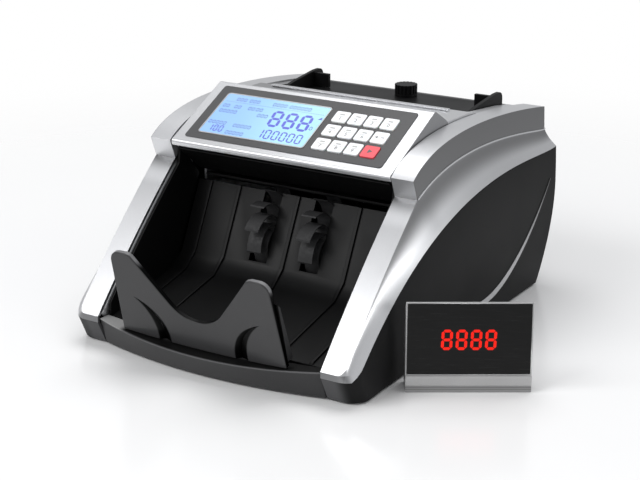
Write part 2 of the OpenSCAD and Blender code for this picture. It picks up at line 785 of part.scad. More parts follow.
module gap_knob() {
  grips = 18;
  color([0.12, 0.12, 0.12])
    difference() {
      translate([0, knob_y, 0])
        union() {
          translate([0, 0, tray_z + near]) cylinder(h = 9, r = knob_r, $fn = fine);
          translate([0, 0, tray_z - sheet_t - 6])
            cylinder(h = sheet_t + 8, r = knob_stem_r, $fn = fine);
        }
      for (i = [0 : grips - 1])
        translate([0, knob_y, tray_z + 2])
          rotate(i * 360 / grips)
            translate([knob_r, 0, 0]) cylinder(h = 12, r = 0.8, $fn = 16);
    }
}

// ---- Back ----
shelf_z = 59.4;
rear_y = back_y - 12.5;
rear_half = rail_in + 1.4;
rear_t = 2.5;
hinge_y = rear_y + 4;
hinge_z = shelf_z + 8.6;
hinge_x = 61.5;
lug_w = 3.5;
lug_gap = 0.4;
lug_r = 4;
cover_back = back_y - 2.5;
cover_half = rail_in - 0.6;
cover_low = shelf_z + 3.4;
cover_t = 2.4;
cover_chain = [[tray_rear[0] + 0.8, tray_z - 0.4], [back_y - 11, tray_z - 1.4],
  [back_y - 5.5, tray_z - 7.6], [back_y - 3, tray_z - 21.6], [cover_back, tray_z - 50],
  [cover_back, cover_low]];
module rear_cover() {
  color([0.3, 0.3, 0.31])
    difference() {
      union() {
        along_x(-cover_half, cover_half) bent_sheet(cover_chain, cover_t);
        both_sides()
          along_x(cover_half - cover_t, cover_half) bent_sheet(cover_chain, 8);
        both_sides()
          along_x(hinge_x + lug_w + lug_gap, hinge_x + 2 * lug_w + lug_gap) {
            translate([hinge_y, hinge_z]) circle(lug_r, $fn = fine);
            translate([hinge_y, hinge_z - lug_r])
              square([cover_back - cover_t / 2 - hinge_y, 2 * lug_r]);
          }
      }
      both_sides()
        rod_x(hinge_x + lug_w, hinge_x + 2 * lug_w + 2 * lug_gap, hinge_pin_r + shaft_fit,
          hinge_y, hinge_z);
      // Room for the lugs of the rear panel
      both_sides()
        translate([hinge_x - 1.2, hinge_y - 20, cover_low - 1])
          cube([lug_w + 1.5, 60, hinge_z + lug_r + 2 - cover_low]);
    }
}

inlet_x = 60;
inlet_z = 45;
inlet_hole = [27.6, 20];
switch_x = 28;
switch_hole = [14, 21];
socket_x = [-42, -64];
socket_hole = [12, 11];
port_clear = 0.2;
function port_hole(hole) = [hole[0] + 2 * port_clear, hole[1] + 2 * port_clear];
module rear_port(x, hole) {
  translate([x - hole[0] / 2, rear_y - 10, inlet_z - hole[1] / 2])
    cube([hole[0], 20, hole[1]]);
}
handle_z = 52;
handle_drop = 28;
handle_y = rear_y + 4.5;
handle_x = 86;
handle_ear_x = handle_x + handle_d / 2 + 0.3;
handle_pin_r = 2;
module rear_panel() {
  bevel_y = back_y - 23;
  color([0.1, 0.1, 0.11]) {
    difference() {
      along_x(-rear_half, rear_half) {
        bent_sheet([[rear_y, shelf_z], [rear_y, 30], [bevel_y, 13], [pan_back + 2.2, 4.8]], rear_t);
        translate([rear_y - rear_t - 3, shelf_z - 2.4]) square([rear_t + 11, 2.4]);
      }
      rear_port(inlet_x, port_hole(inlet_hole));
      rear_port(switch_x, port_hole(switch_hole));
      for (x = socket_x) rear_port(x, port_hole(socket_hole));
    }
    // Lugs and pins of the cover hinge
    both_sides() {
      along_x(hinge_x, hinge_x + lug_w) {
        translate([hinge_y, hinge_z]) circle(lug_r - 0.6, $fn = fine);
        translate([hinge_y - lug_r + 0.6, shelf_z - 1])
          square([2 * lug_r - 1.2, hinge_z - shelf_z + 1]);
      }
      rod_x(hinge_x + lug_w - 0.5, hinge_x + 2 * lug_w + lug_gap + 0.6, hinge_pin_r,
        hinge_y, hinge_z);
    }
    // Ears and pins of the carrying handle
    both_sides() {
      translate([handle_ear_x, rear_y - 1, handle_z - 5]) cube([4, 9, 10]);
      rod_x(handle_x - 2, handle_ear_x + 1, handle_pin_r, handle_y, handle_z);
    }
  }
}

module power_inlet() {
  rim = 1.8;
  depth = 16;
  color([0.06, 0.06, 0.06]) {
    difference() {
      union() {
        translate([inlet_x - inlet_hole[0] / 2, rear_y - depth, inlet_z - inlet_hole[1] / 2])
          cube([inlet_hole[0], depth + 1, inlet_hole[1]]);
        translate([inlet_x - inlet_hole[0] / 2 - rim, rear_y + touch,
          inlet_z - inlet_hole[1] / 2 - rim])
          cube([inlet_hole[0] + 2 * rim, 2, inlet_hole[1] + 2 * rim]);
      }
      translate([inlet_x - 12, rear_y - depth + 3, inlet_z - 8]) cube([24, 30, 16]);
    }
    // Rim of the power switch
    difference() {
      union() {
        translate([switch_x - switch_hole[0] / 2, rear_y - 12, inlet_z - switch_hole[1] / 2])
          cube([switch_hole[0], 13, switch_hole[1]]);
        translate([switch_x - switch_hole[0] / 2 - 1.2, rear_y + touch,
          inlet_z - switch_hole[1] / 2 - 1.2])
          cube([switch_hole[0] + 2.4, 1.6, switch_hole[1] + 2.4]);
      }
      translate([switch_x - 5.5, rear_y - 10.5, inlet_z - 9.2]) cube([11, 30, 18.4]);
    }
    // Axle of the rocker
    rod_x(switch_x - 6, switch_x + 6, switch_pin_r, switch_pivot[0], switch_pivot[1]);
  }
  // Three flat pins of the inlet
  color([0.8, 0.78, 0.7])
    for (p = [[-7, -2], [7, -2], [0, 2.4]])
      translate([inlet_x + p[0] - 1, rear_y - depth + 2.5, inlet_z + p[1] - 2]) cube([2, 9, 4]);
}

switch_pivot = [rear_y - 4, inlet_z];
switch_pin_r = 1.4;
module power_switch() {
  color([0.5, 0.06, 0.06])
    difference() {
      along_x(switch_x - 5, switch_x + 5)
        translate(switch_pivot)
          polygon([[-4.5, -3.5], [2, -8.2], [5.2, -7.8], [4.2, 0], [7.2, 7], [4.4, 8.2],
            [-4.5, 3.5]]);
      rod_x(switch_x - 6, switch_x + 6, switch_pin_r + shaft_fit, switch_pivot[0],
        switch_pivot[1]);
    }
}

module display_socket() {
  depth = 13;
  color([0.07, 0.07, 0.07])
    for (x = socket_x)
      difference() {
        union() {
          translate([x - socket_hole[0] / 2, rear_y - depth, inlet_z - socket_hole[1] / 2])
            cube([socket_hole[0], depth + 0.6, socket_hole[1]]);
          translate([x - socket_hole[0] / 2 - 2, rear_y - rear_t - 2.5, inlet_z - socket_hole[1] / 2 - 1])
            cube([socket_hole[0] + 4, 2.4, socket_hole[1] + 2]);
        }
        translate([x - 4.4, rear_y - depth + 3, inlet_z - 3.2]) cube([8.8, 30, 6.4]);
      }
}

module carry_handle() {
  r = handle_d / 2;
  bar_z = handle_z - handle_drop;
  color([0.14, 0.14, 0.15])
    difference() {
      union() {
        rod_x(-handle_x, handle_x, r, handle_y, bar_z);
        both_sides() {
          translate([handle_x, handle_y, bar_z]) sphere(r, $fn = 32);
          translate([handle_x, handle_y, bar_z]) cylinder(h = handle_drop, r = r, $fn = fine);
          rod_x(handle_x - r, handle_x + r, r + 1, handle_y, handle_z);
        }
      }
      both_sides()
        rod_x(handle_x - r - 1, handle_x + r + 1, handle_pin_r + shaft_fit, handle_y, handle_z);
    }
}

// ---- Chassis and drive ----
plate_foot_y = [console_y + 26, console_y + 122];
plate_foot_w = 12;
plate_z = pan_floor + 3;
motor_y = feed_y + 49;
motor_z = 42;
rod_r = 3.5;
rod_places = [[stacker_y - 4, 22], [feed_y + 62, 18], [feed_y + 62, feed_z - 14]];
plate_outline = [
  [plate_foot_y[0], plate_z], [stacker_y - 18, stacker_z - 26], [stacker_y + 6, stacker_z + 23],
  [feed_y - 30, feed_z - 12], [feed_y - 30, feed_z + 12], [feed_y + 4, feed_z + 24],
  [feed_y + 24, feed_z + 24],
  [pickup_y + 12, pickup_z + 8], [plate_foot_y[1] + 8, feed_z + 8], [plate_foot_y[1] + 8, plate_z]];
shaft_places = [[feed_y, feed_z], [pickup_y, pickup_z], [stacker_y, stacker_z],
  [pinch_y, pinch_z]];
module frame_plate(motor_side) {
  color([0.62, 0.63, 0.65])
    difference() {
      union() {
        along_x(plate_half - plate_t, plate_half) polygon(plate_outline);
        translate([plate_half - plate_t, plate_foot_y[0], plate_z])
          cube([plate_foot_w + plate_t, plate_foot_y[1] - plate_foot_y[0], plate_t]);
      }
      for (p = shaft_places)
        rod_x(plate_half - plate_t - 1, plate_half + 1, bearing_r + 0.02, p[0], p[1]);
      if (motor_side)
        rod_x(plate_half - plate_t - 1, plate_half + 1, motor_shaft_r + 1.5, motor_y, motor_z);
      // Lightening window
      along_x(plate_half - plate_t - 1, plate_half + 1)
        polygon([[feed_y - 16, plate_z + 14], [motor_y - 26, plate_z + 14],
          [motor_y - 26, feed_z - 44], [feed_y - 16, feed_z - 44]]);
    }
}
module frame_right() { frame_plate(true); }
module frame_left() { mirror([1, 0, 0]) frame_plate(false); }

module tie_rods() {
  color([0.7, 0.71, 0.73])
    for (p = rod_places)
      rod_x(-plate_half + plate_t + touch, plate_half - plate_t - touch, rod_r, p[0], p[1]);
}

// Pulleys sit outside the plates in two planes on the right and one on the left
plane_1 = plate_half + 2.5;
plane_2 = plane_1 + belt_w + 1.5;
pulley_w = belt_w + 0.6;
shaft_end = plate_half + 1.6;
motor_shaft_r = 2.5;
motor_pulley_r = 8;
feed_pulley_r = 18;
link_pulley_r = 10;
fan_pulley_r = 9;
pickup_pulley_r = 8;
motor_front = plate_half - plate_t - touch;
module pulley(x, r, place) {
  rod_x(x, x + pulley_w, r, place[0], place[1]);
}
module feed_shaft() {
  color([0.66, 0.67, 0.69]) {
    rod_x(-plane_1 - pulley_w - 0.5, plane_2 + pulley_w + 0.5, shaft_r, feed_y, feed_z);
    pulley(plane_1, feed_pulley_r, shaft_places[0]);
    pulley(plane_2, link_pulley_r, shaft_places[0]);
    pulley(-plane_1 - pulley_w, pickup_pulley_r, shaft_places[0]);
  }
}
module pickup_shaft() {
  color([0.66, 0.67, 0.69]) {
    rod_x(-plane_1 - pulley_w - 0.5, shaft_end, shaft_r, pickup_y, pickup_z);
    pulley(-plane_1 - pulley_w, pickup_pulley_r, shaft_places[1]);
  }
}
module stacker_shaft() {
  color([0.66, 0.67, 0.69]) {
    rod_x(-shaft_end, plane_2 + pulley_w + 0.5, shaft_r, stacker_y, stacker_z);
    pulley(plane_2, fan_pulley_r, shaft_places[2]);
  }
}
// Pair of rollers with a fitted bore
module roller_pair(w, r, place) {
  both_sides()
    difference() {
      rod_x(roller_x - w / 2, roller_x + w / 2, r, place[0], place[1]);
      rod_x(roller_x - w / 2 - 1, roller_x + w / 2 + 1, shaft_r + 0.02, place[0], place[1]);
    }
}
module feed_rollers() {
  color([0.15, 0.15, 0.16]) roller_pair(feed_w, feed_r, shaft_places[0]);
}
module pickup_rollers() {
  color([0.85, 0.5, 0.2]) roller_pair(pickup_w, pickup_r, shaft_places[1]);
}
module pinch_rollers() {
  color([0.75, 0.75, 0.76]) {
    rod_x(-shaft_end, shaft_end, shaft_r, pinch_y, pinch_z);
    both_sides()
      rod_x(roller_x - pinch_w / 2, roller_x + pinch_w / 2, pinch_r, pinch_y, pinch_z);
  }
}

// Stacker wheel: a hub with curved blades
fan_hub_r = 7;
fan_blades = 10;
blade_t = 1.3;
blade_sweep = 62;
module fan_blade() {
  inner = [for (s = steps(8)) let (r = fan_hub_r - 1 + (fan_r - fan_hub_r + 1) * s,
    a = blade_sweep * s^1.3) r * [cos(a), sin(a)]];
  outer = [for (s = steps(8)) let (r = fan_hub_r - 1 + (fan_r - fan_hub_r + 1) * s,
    a = blade_sweep * s^1.3 + blade_t / r * 57.3) r * [cos(a), sin(a)]];
  polygon(concat(inner, back_wards(outer)));
}
module stacker_wheels() {
  color([0.12, 0.12, 0.13])
    both_sides()
      difference() {
        along_x(fan_x - fan_w / 2, fan_x + fan_w / 2)
          translate([stacker_y, stacker_z]) {
            circle(fan_hub_r, $fn = fine);
            for (i = [0 : fan_blades - 1]) rotate(i * 360 / fan_blades) fan_blade();
          }
        rod_x(fan_x - fan_w, fan_x + fan_w, shaft_r + 0.02, stacker_y, stacker_z);
      }
}

module drive_motor() {
  body_x = 22;
  color([0.45, 0.46, 0.48])
    difference() {
      union() {
        rod_x(body_x, motor_front - 2, motor_r, motor_y, motor_z);
        rod_x(body_x - 4, body_x + 1, 7, motor_y, motor_z);
        translate([motor_front - 3, motor_y - motor_r, motor_z - motor_r])
          cube([3, 2 * motor_r, 2 * motor_r]);
      }
      rod_x(motor_front - 14, motor_front + 1, motor_shaft_r + shaft_fit, motor_y, motor_z);
    }
}
module motor_pulley() {
  color([0.66, 0.67, 0.69]) {
    rod_x(motor_front - 12, plane_1 + pulley_w, motor_shaft_r, motor_y, motor_z);
    rod_x(plane_1, plane_1 + pulley_w, motor_pulley_r, motor_y, motor_z);
  }
}

// Room round the belt of the stacker shaft, where the deck is wide enough to reach it
module fan_belt_room() {
  room = belt_t + 2;
  along_x(plane_2 - 1, plane_2 + pulley_w + 1.5)
    hull() {
      translate(shaft_places[0]) circle(link_pulley_r + room, $fn = fine);
      translate(shaft_places[2]) circle(fan_pulley_r + room, $fn = fine);
    }
}
module belt_loop(x, place_a, r_a, place_b, r_b) {
  along_x(x, x + belt_w)
    difference() {
      hull() {
        translate(place_a) circle(r_a + near + belt_t, $fn = fine);
        translate(place_b) circle(r_b + near + belt_t, $fn = fine);
      }
      hull() {
        translate(place_a) circle(r_a + near, $fn = fine);
        translate(place_b) circle(r_b + near, $fn = fine);
      }
    }
}
module drive_belts() {
  color([0.04, 0.04, 0.04]) {
    belt_loop(plane_1 + 0.3, [motor_y, motor_z], motor_pulley_r, shaft_places[0], feed_pulley_r);
    belt_loop(plane_2 + 0.3, shaft_places[0], link_pulley_r, shaft_places[2], fan_pulley_r);
    belt_loop(-plane_1 - 0.3 - belt_w, shaft_places[0], pickup_pulley_r, shaft_places[1],
      pickup_pulley_r);
  }
}

module bearings() {
  color([0.72, 0.6, 0.35])
    both_sides()
      for (p = shaft_places)
        difference() {
          rod_x(plate_half - plate_t - 0.3, plate_half + 0.5, bearing_r, p[0], p[1]);
          rod_x(plate_half - plate_t - 1, plate_half + 1.5, shaft_r + shaft_fit, p[0], p[1]);
        }
}

module circuit_board(xs) {
  translate([xs[0], board_y[0], board_z])
    cube([xs[1] - xs[0], board_y[1] - board_y[0], board_t]);
}
module main_board() {
  top = board_z + board_t - 0.1;
  color([0.1, 0.36, 0.2]) {
    circuit_board(main_x);
    translate([main_x[0] + 24, board_y[0] + 12, top]) cube([16, 16, 1.9]);
    translate([main_x[0] + 50, board_y[0] + 14, top]) cube([10, 7, 1.7]);
    for (i = [0 : 3])
      translate([main_x[0] + 6 + i * 18, board_y[1] - 9, top]) cube([12, 6, 7]);
    translate([main_x[0] + 8, board_y[0] + 30, top]) cylinder(h = 9, r = 3.5, $fn = fine);
    translate([main_x[0] + 16, board_y[0] + 30, top]) cylinder(h = 9, r = 3.5, $fn = fine);
  }
}
module power_supply() {
  top = board_z + board_t - 0.1;
  color([0.75, 0.62, 0.2]) {
    circuit_board(supply_x);
    translate([supply_x[0] + 10, board_y[0] + 6, top]) cube([26, 24, 20]);
    translate([supply_x[0] + 44, board_y[0] + 8, top]) cube([3, 30, 18]);
    translate([supply_x[0] + 56, board_y[0] + 12, top]) cylinder(h = 16, r = 6, $fn = fine);
    translate([supply_x[0] + 14, board_y[1] - 8, top]) cylinder(h = 11, r = 4.5, $fn = fine);
  }
}

// Pan head screws on the back and under the pan
screw_r = 2.8;
screw_h = 1.4;
module cover_screws() {
  color([0.55, 0.55, 0.57]) {
    for (x = [-79, -6, 6, 79])
      translate([x, rear_y + touch, abs(x) > 50 ? 36 : 53])
        rotate([-90, 0, 0])
          difference() {
            cylinder(h = screw_h, r = screw_r, $fn = 32);
            for (a = [0, 90])
              rotate(a) translate([-1.7, -0.35, screw_h - 0.7]) cube([3.4, 0.7, 2]);
          }
    both_sides()
      for (y = [pan_front + 34, pan_back - 34])
        translate([pan_half - foot_inset, y, foot_h - touch])
          rotate([180, 0, 0])
            difference() {
              cylinder(h = screw_h, r = screw_r, $fn = 32);
              for (a = [0, 90])
                rotate(a) translate([-1.7, -0.35, screw_h - 0.7]) cube([3.4, 0.7, 2]);
            }
  }
}

// ---- Separate customer display ----
cust_gap = 13.2;
cust_ahead = 45.1;
cust_wall = 2;
cust_strip = [4.6, 12];
cust_lean = 3;
cust_top_d = 12;
cust_drop = 6;
cust_ledge = 1.2;
cust_rim = 0.9;
module on_cust() {
  translate([side_half + cust_gap, front_y + cust_ahead, 0])
    rotate([0, 0, cust_turn]) children();
}
module cust_profile(grow) {
  offset(delta = grow)
    polygon([[1, 0], [1, cust_strip[0]], [0, cust_strip[0] + 0.6], [0, cust_strip[1]],
      [cust_ledge, cust_strip[1] + 0.5],
      [cust_ledge + (cust_h - cust_strip[1]) * tan(cust_lean), cust_h],
      [cust_ledge + (cust_h - cust_strip[1]) * tan(cust_lean) + cust_rim, cust_h],
      [cust_ledge + cust_top_d, cust_h - cust_drop], [cust_d, 0]]);
}
face_span = [cust_strip[1] + 0.9, cust_h - cust_rim];
module cust_face_place(grow, depth) {
  translate([0, cust_ledge, cust_strip[1] + 0.5])
    rotate([-cust_lean, 0, 0])
      translate([cust_rim - grow, -1, 0.4 - grow])
        cube([cust_w - 2 * cust_rim + 2 * grow, 1 + depth,
          (face_span[1] - face_span[0]) / cos(cust_lean) + 2 * grow]);
}
module external_display_case() {
  color([0.66, 0.66, 0.68])
    on_cust()
      difference() {
        along_x(0, cust_w) cust_profile(0);
        along_x(cust_wall, cust_w - cust_wall) cust_profile(-cust_wall);
        cust_face_place(0.1, 1.4);
        cust_face_place(-2, 3.5);
        translate([10, 0.6, 1.5]) cube([cust_w - 20, 0.9, 0.7]);
      }
}
module external_display_face() {
  color([0.06, 0.06, 0.06])
    on_cust()
      intersection() {
        cust_face_place(0, 1.3);
        translate([0, cust_ledge, cust_strip[1] + 0.5])
          rotate([-cust_lean, 0, 0])
            translate([-1, -0.2, -1]) cube([cust_w + 2, 10, cust_h]);
      }
}

base_pan();
rubber_feet();
front_fascia();
side_shell_left();
side_shell_right();
side_panel_left();
side_panel_right();
side_stripes();
console_housing();
keypad_overlay();
display_window();
display_module();
console_board();
key_1();
key_2();
key_3();
key_0();
key_4();
key_5();
key_6();
key_batch();
key_7();
key_8();
key_9();
key_start();
stacker_gate();
stacker_deck();
pocket_wall_left();
pocket_wall_right();
transport_guides();
hopper_tray();
hopper_lip();
note_guide_left();
note_guide_right();
rear_cover();
rear_panel();
power_inlet();
power_switch();
display_socket();
gap_knob();
carry_handle();
frame_left();
frame_right();
tie_rods();
pickup_shaft();
pickup_rollers();
feed_shaft();
feed_rollers();
stacker_shaft();
stacker_wheels();
pinch_rollers();
drive_motor();
motor_pulley();
drive_belts();
bearings();
main_board();
power_supply();
cover_screws();
external_display_case();
external_display_face();
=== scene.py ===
"""Looks of a banknote counting machine, laid out as an add-on and run as a script."""

import math
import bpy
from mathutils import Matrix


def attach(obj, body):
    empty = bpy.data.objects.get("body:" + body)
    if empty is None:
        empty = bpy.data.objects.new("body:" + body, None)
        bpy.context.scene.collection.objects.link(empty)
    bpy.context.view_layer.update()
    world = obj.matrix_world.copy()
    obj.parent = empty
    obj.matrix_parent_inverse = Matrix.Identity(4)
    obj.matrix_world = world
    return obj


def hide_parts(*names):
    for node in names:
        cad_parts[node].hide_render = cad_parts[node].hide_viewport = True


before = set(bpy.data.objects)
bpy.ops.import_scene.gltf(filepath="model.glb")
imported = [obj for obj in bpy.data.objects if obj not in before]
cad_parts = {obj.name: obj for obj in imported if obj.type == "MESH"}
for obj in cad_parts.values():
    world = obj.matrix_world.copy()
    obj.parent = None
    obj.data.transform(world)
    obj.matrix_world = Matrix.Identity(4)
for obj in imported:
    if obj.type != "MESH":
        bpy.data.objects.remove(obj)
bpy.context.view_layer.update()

from types import SimpleNamespace

import bmesh
import bpy
from bpy.props import FloatProperty, FloatVectorProperty, IntProperty, PointerProperty
from mathutils import Matrix, Vector

bl_info = {
    "name": "Banknote Counting Machine",
    "version": (1, 0, 0),
    "blender": (4, 5, 0),
    "location": "3D View > Sidebar > Counter",
    "description": "Builds the visible pieces of a desktop banknote counting machine",
    "category": "Object",
}

MM = 0.001
ROOT = "machine"

# Front of the side frames, and the gap under the side panels, in millimetres
FRONT_Y = -149.0
FLOOR_GAP = 1.0
# Height of the flat strip under the rail, and drop from the console's front edge to its bracket
STRIP_HEIGHT = 4.5
BRACKET_DROP = 14.5
# Gap between neighbouring pieces
PIECE_GAP = 0.3
# Share of the side's top edge that is the rail
RAIL_SHARE = 0.32
# Depth from the front to where the top edge of a side panel starts
CORNER_DEPTH = 4.0


# ---------------------------------------------------------------- sizes and colours


class CounterSizes(bpy.types.PropertyGroup):
    """Sizes that shape the outside of the machine."""

    frame_width: FloatProperty(
        name="Frame width", description="Width across the two silver side frames",
        default=0.221, min=0.2, max=0.27, unit="LENGTH")
    body_length: FloatProperty(
        name="Body length", description="Length from the front of the feet to the back",
        default=0.310, min=0.3, max=0.38, unit="LENGTH")
    body_height: FloatProperty(
        name="Body height", description="Height of the top edge of the console",
        default=0.1645, min=0.16, max=0.2, unit="LENGTH")
    wall: FloatProperty(
        name="Shell wall", description="Wall of the outer shells",
        default=0.0025, min=0.002, max=0.0032, unit="LENGTH")
    panel_out: FloatProperty(
        name="Panel stand-out", description="How far the side panels stand out past the frames",
        default=0.0076, min=0.005, max=0.01, unit="LENGTH")
    corner_radius: FloatProperty(
        name="Front corner", description="Radius of the front corners, seen from above",
        default=0.013, min=0.009, max=0.016, unit="LENGTH")
    rail_width: FloatProperty(
        name="Rail width", description="Width of the silver rails beside the pocket",
        default=0.0175, min=0.014, max=0.022, unit="LENGTH")
    block_height: FloatProperty(
        name="Foot block height", description="Height of the dark block under each rail",
        default=0.0185, min=0.016, max=0.022, unit="LENGTH")
    slope: FloatProperty(
        name="Console slope", description="Slope of the console face",
        default=math.radians(26.5), min=math.radians(22), max=math.radians(30), unit="ROTATION")
    console_length: FloatProperty(
        name="Console length", description="Length of the console face along its slope",
        default=0.0717, min=0.066, max=0.076, unit="LENGTH")
    console_back: FloatProperty(
        name="Console setback", description="Console front edge behind the front of the feet",
        default=0.090, min=0.084, max=0.096, unit="LENGTH")
    key_side: FloatProperty(
        name="Key side", description="Side of a square key",
        default=0.0118, min=0.009, max=0.012, unit="LENGTH")
    gate_height: FloatProperty(
        name="Gate height", description="Height of the tips of the stacker gate",
        default=0.083, min=0.07, max=0.092, unit="LENGTH")
    edge_round: FloatProperty(
        name="Edge rounding", description="Radius of the edges of the moulded parts",
        default=0.0006, min=0.0002, max=0.0012, unit="LENGTH")
    edge_steps: IntProperty(
        name="Edge steps", description="Faces across a rounded edge",
        default=3, min=1, max=5)


class CounterColours(bpy.types.PropertyGroup):
    """Colours of the main finishes, as linear values."""

    silver: FloatVectorProperty(
        name="Silver", description="Metallic paint of the frames and the console",
        subtype="COLOR", default=(0.60, 0.605, 0.62), min=0, max=1)
    dark: FloatVectorProperty(
        name="Dark grey", description="Satin plastic of the gate and the fascia",
        subtype="COLOR", default=(0.031, 0.031, 0.032), min=0, max=1)
    black: FloatVectorProperty(
        name="Black", description="Satin black of the side panels",
        subtype="COLOR", default=(0.0145, 0.0145, 0.015), min=0, max=1)
    overlay: FloatVectorProperty(
        name="Keypad film", description="Printed film round the keys and the display",
        subtype="COLOR", default=(0.050, 0.050, 0.052), min=0, max=1)
    stripe: FloatVectorProperty(
        name="Stripe", description="Silver crescent on the side panels",
        subtype="COLOR", default=(0.42, 0.42, 0.43), min=0, max=1)
    display_left: FloatVectorProperty(
        name="Display left", description="Lit display at its left side",
        subtype="COLOR", default=(0.31, 0.58, 1.0), min=0, max=1)
    display_right: FloatVectorProperty(
        name="Display right", description="Lit display at its right side",
        subtype="COLOR", default=(0.47, 0.86, 1.0), min=0, max=1)
    digits: FloatVectorProperty(
        name="Display digits", description="Dark digits of the display",
        subtype="COLOR", default=(0.06, 0.07, 0.62), min=0, max=1)
    key_white: FloatVectorProperty(
        name="Key", description="White keys",
        subtype="COLOR", default=(0.86, 0.86, 0.87), min=0, max=1)
    key_red: FloatVectorProperty(
        name="Red key", description="The red key",
        subtype="COLOR", default=(0.82, 0.085, 0.11), min=0, max=1)
    led: FloatVectorProperty(
        name="Lit digits", description="Red digits of the separate display",
        subtype="COLOR", default=(1.0, 0.02, 0.01), min=0, max=1)


def sizes():
    """All sizes in millimetres, worked out from the panel's values."""
    p = bpy.context.scene.counter_sizes
    d = SimpleNamespace()
    d.frame_half = p.frame_width / MM / 2
    d.wall = p.wall / MM
    d.corner_r = p.corner_radius / MM
    d.block_h = p.block_height / MM
    d.rail_in = d.frame_half - p.rail_width / MM
    d.side_half = d.frame_half + p.panel_out / MM
    d.front_y = FRONT_Y
    d.back_y = d.front_y + p.body_length / MM
    d.body_h = p.body_height / MM
    d.slope = p.slope
    d.console_len = p.console_length / MM
    d.console_y = d.front_y + p.console_back / MM
    d.console_z = d.body_h - d.console_len * math.sin(d.slope)
    d.apex_y = d.console_y + d.console_len * math.cos(d.slope)
    d.rail_foot_z = d.block_h + STRIP_HEIGHT
    d.bracket_z = d.console_z - BRACKET_DROP
    d.corner_x = d.side_half - d.corner_r
    d.corner_y = d.front_y + d.corner_r
    d.pocket_half = d.rail_in - PIECE_GAP
    d.key = p.key_side / MM
    d.gate_h = p.gate_height / MM
    d.round = p.edge_round / MM
    d.round_steps = p.edge_steps
    return d


def colours():
    """Colours of the panel."""
    return bpy.context.scene.counter_colours


# ---------------------------------------------------------------- shaders


# Range that most of a noise lies in
NOISE_LOW, NOISE_HIGH = 0.3, 0.7


class Value:
    """A shader socket that does arithmetic, so that masks are written as sums."""

    def __init__(self, shader, socket):
        self.shader = shader
        self.socket = socket

    def maths(self, operation, a, b=None):
        inputs = {0: a} if b is None else {0: a, 1: b}
        return self.shader.node("ShaderNodeMath", {"operation": operation}, inputs)

    def __add__(self, other):
        return self.maths("ADD", self, other)

    def __radd__(self, other):
        return self.maths("ADD", other, self)

    def __sub__(self, other):
        return self.maths("SUBTRACT", self, other)

    def __rsub__(self, other):
        return self.maths("SUBTRACT", other, self)

    def __mul__(self, other):
        return self.maths("MULTIPLY", self, other)

    def __rmul__(self, other):
        return self.maths("MULTIPLY", other, self)

    def __truediv__(self, other):
        return self.maths("DIVIDE", self, other)

    def __rtruediv__(self, other):
        return self.maths("DIVIDE", other, self)

    def __abs__(self):
        return self.maths("ABSOLUTE", self)


class Shader:
    """A material or world under construction, with one method that adds any node."""

    def __init__(self, owner):
        self.owner = owner
        owner.use_nodes = True
        self.tree = owner.node_tree
        self.tree.nodes.clear()
        self.coordinates = None

    def node(self, kind, settings=None, inputs=None, output=0):
        """Adds a node with its settings, values and links, and gives one of its outputs."""
        added = self.tree.nodes.new(kind)
        for name, value in (settings or {}).items():
            setattr(added, name, value)
        for key, value in (inputs or {}).items():
            if isinstance(value, Value):
                self.tree.links.new(value.socket, added.inputs[key])
            else:
                added.inputs[key].default_value = value
        return Value(self, added.outputs[output]) if len(added.outputs) else None

    def place(self):
        """Object coordinates, in metres."""
        if self.coordinates is None:
            self.coordinates = self.node("ShaderNodeTexCoord", output="Object")
        return self.coordinates

    def axis(self, name):
        """One of X, Y and Z, in metres."""
        return self.node("ShaderNodeSeparateXYZ", None, {0: self.place()}, name)

    def stretched(self, scale):
        return self.node("ShaderNodeMapping", None, {"Vector": self.place(), "Scale": scale})

    def noise(self, scale, detail=3.0, rough=0.5, vector=None):
        return self.node("ShaderNodeTexNoise", None, {
            "Vector": vector or self.place(), "Scale": scale, "Detail": detail,
            "Roughness": rough})

    def cells(self, scale):
        return self.node("ShaderNodeTexVoronoi", None, {"Vector": self.place(), "Scale": scale})

    def bands(self, scale, distortion=0.0):
        """Waves across X."""
        return self.node("ShaderNodeTexWave", {"bands_direction": "X"}, {
            "Vector": self.place(), "Scale": scale, "Distortion": distortion})

    def between(self, value, low, high, to_low=0.0, to_high=1.0):
        """Smooth step of a value from low..high to to_low..to_high."""
        return self.node("ShaderNodeMapRange", {"interpolation_type": "SMOOTHSTEP"}, {
            0: value, 1: low, 2: high, 3: to_low, 4: to_high})

    def drift(self, noise, low=0.0, high=1.0):
        """A number that wanders from low to high with a noise."""
        return self.between(noise, NOISE_LOW, NOISE_HIGH, low, high)

    def step(self, value, low, high, to_low=0.0, to_high=1.0):
        """Smooth step of a length, whose two ends are given in millimetres."""
        return self.between(value, low * MM, high * MM, to_low, to_high)

    def fall(self, value, low, high):
        """Step down from one to nothing between two places, given in millimetres."""
        return self.step(value, low, high, 1.0, 0.0)

    def mix(self, factor, a, b):
        def filled(colour):
            return colour if isinstance(colour, Value) else (*tuple(colour)[:3], 1.0)
        return self.node("ShaderNodeMix", {"data_type": "RGBA"}, {
            0: factor, 6: filled(a), 7: filled(b)}, 2)

    def bump(self, height, distance, strength=1.0):
        return self.node("ShaderNodeBump", None, {
            "Strength": strength, "Distance": distance, "Height": height})

    def finish(self, **sockets):
        """Principled surface with the given sockets, named with underscores."""
        inputs = {}
        for key, value in sockets.items():
            if key in ("Base_Color", "Emission_Color") and not isinstance(value, Value):
                value = (*tuple(value)[:3], 1.0)
            inputs[key.replace("_", " ")] = value
        surface = self.node("ShaderNodeBsdfPrincipled", None, inputs)
        self.node("ShaderNodeOutputMaterial", None, {0: surface})
        return self.owner

    def blend(self, mask, colour, dark, light):
        """A colour that drifts between two strengths under a mask."""
        return self.mix(self.drift(mask), tinted(colour, dark), tinted(colour, light))


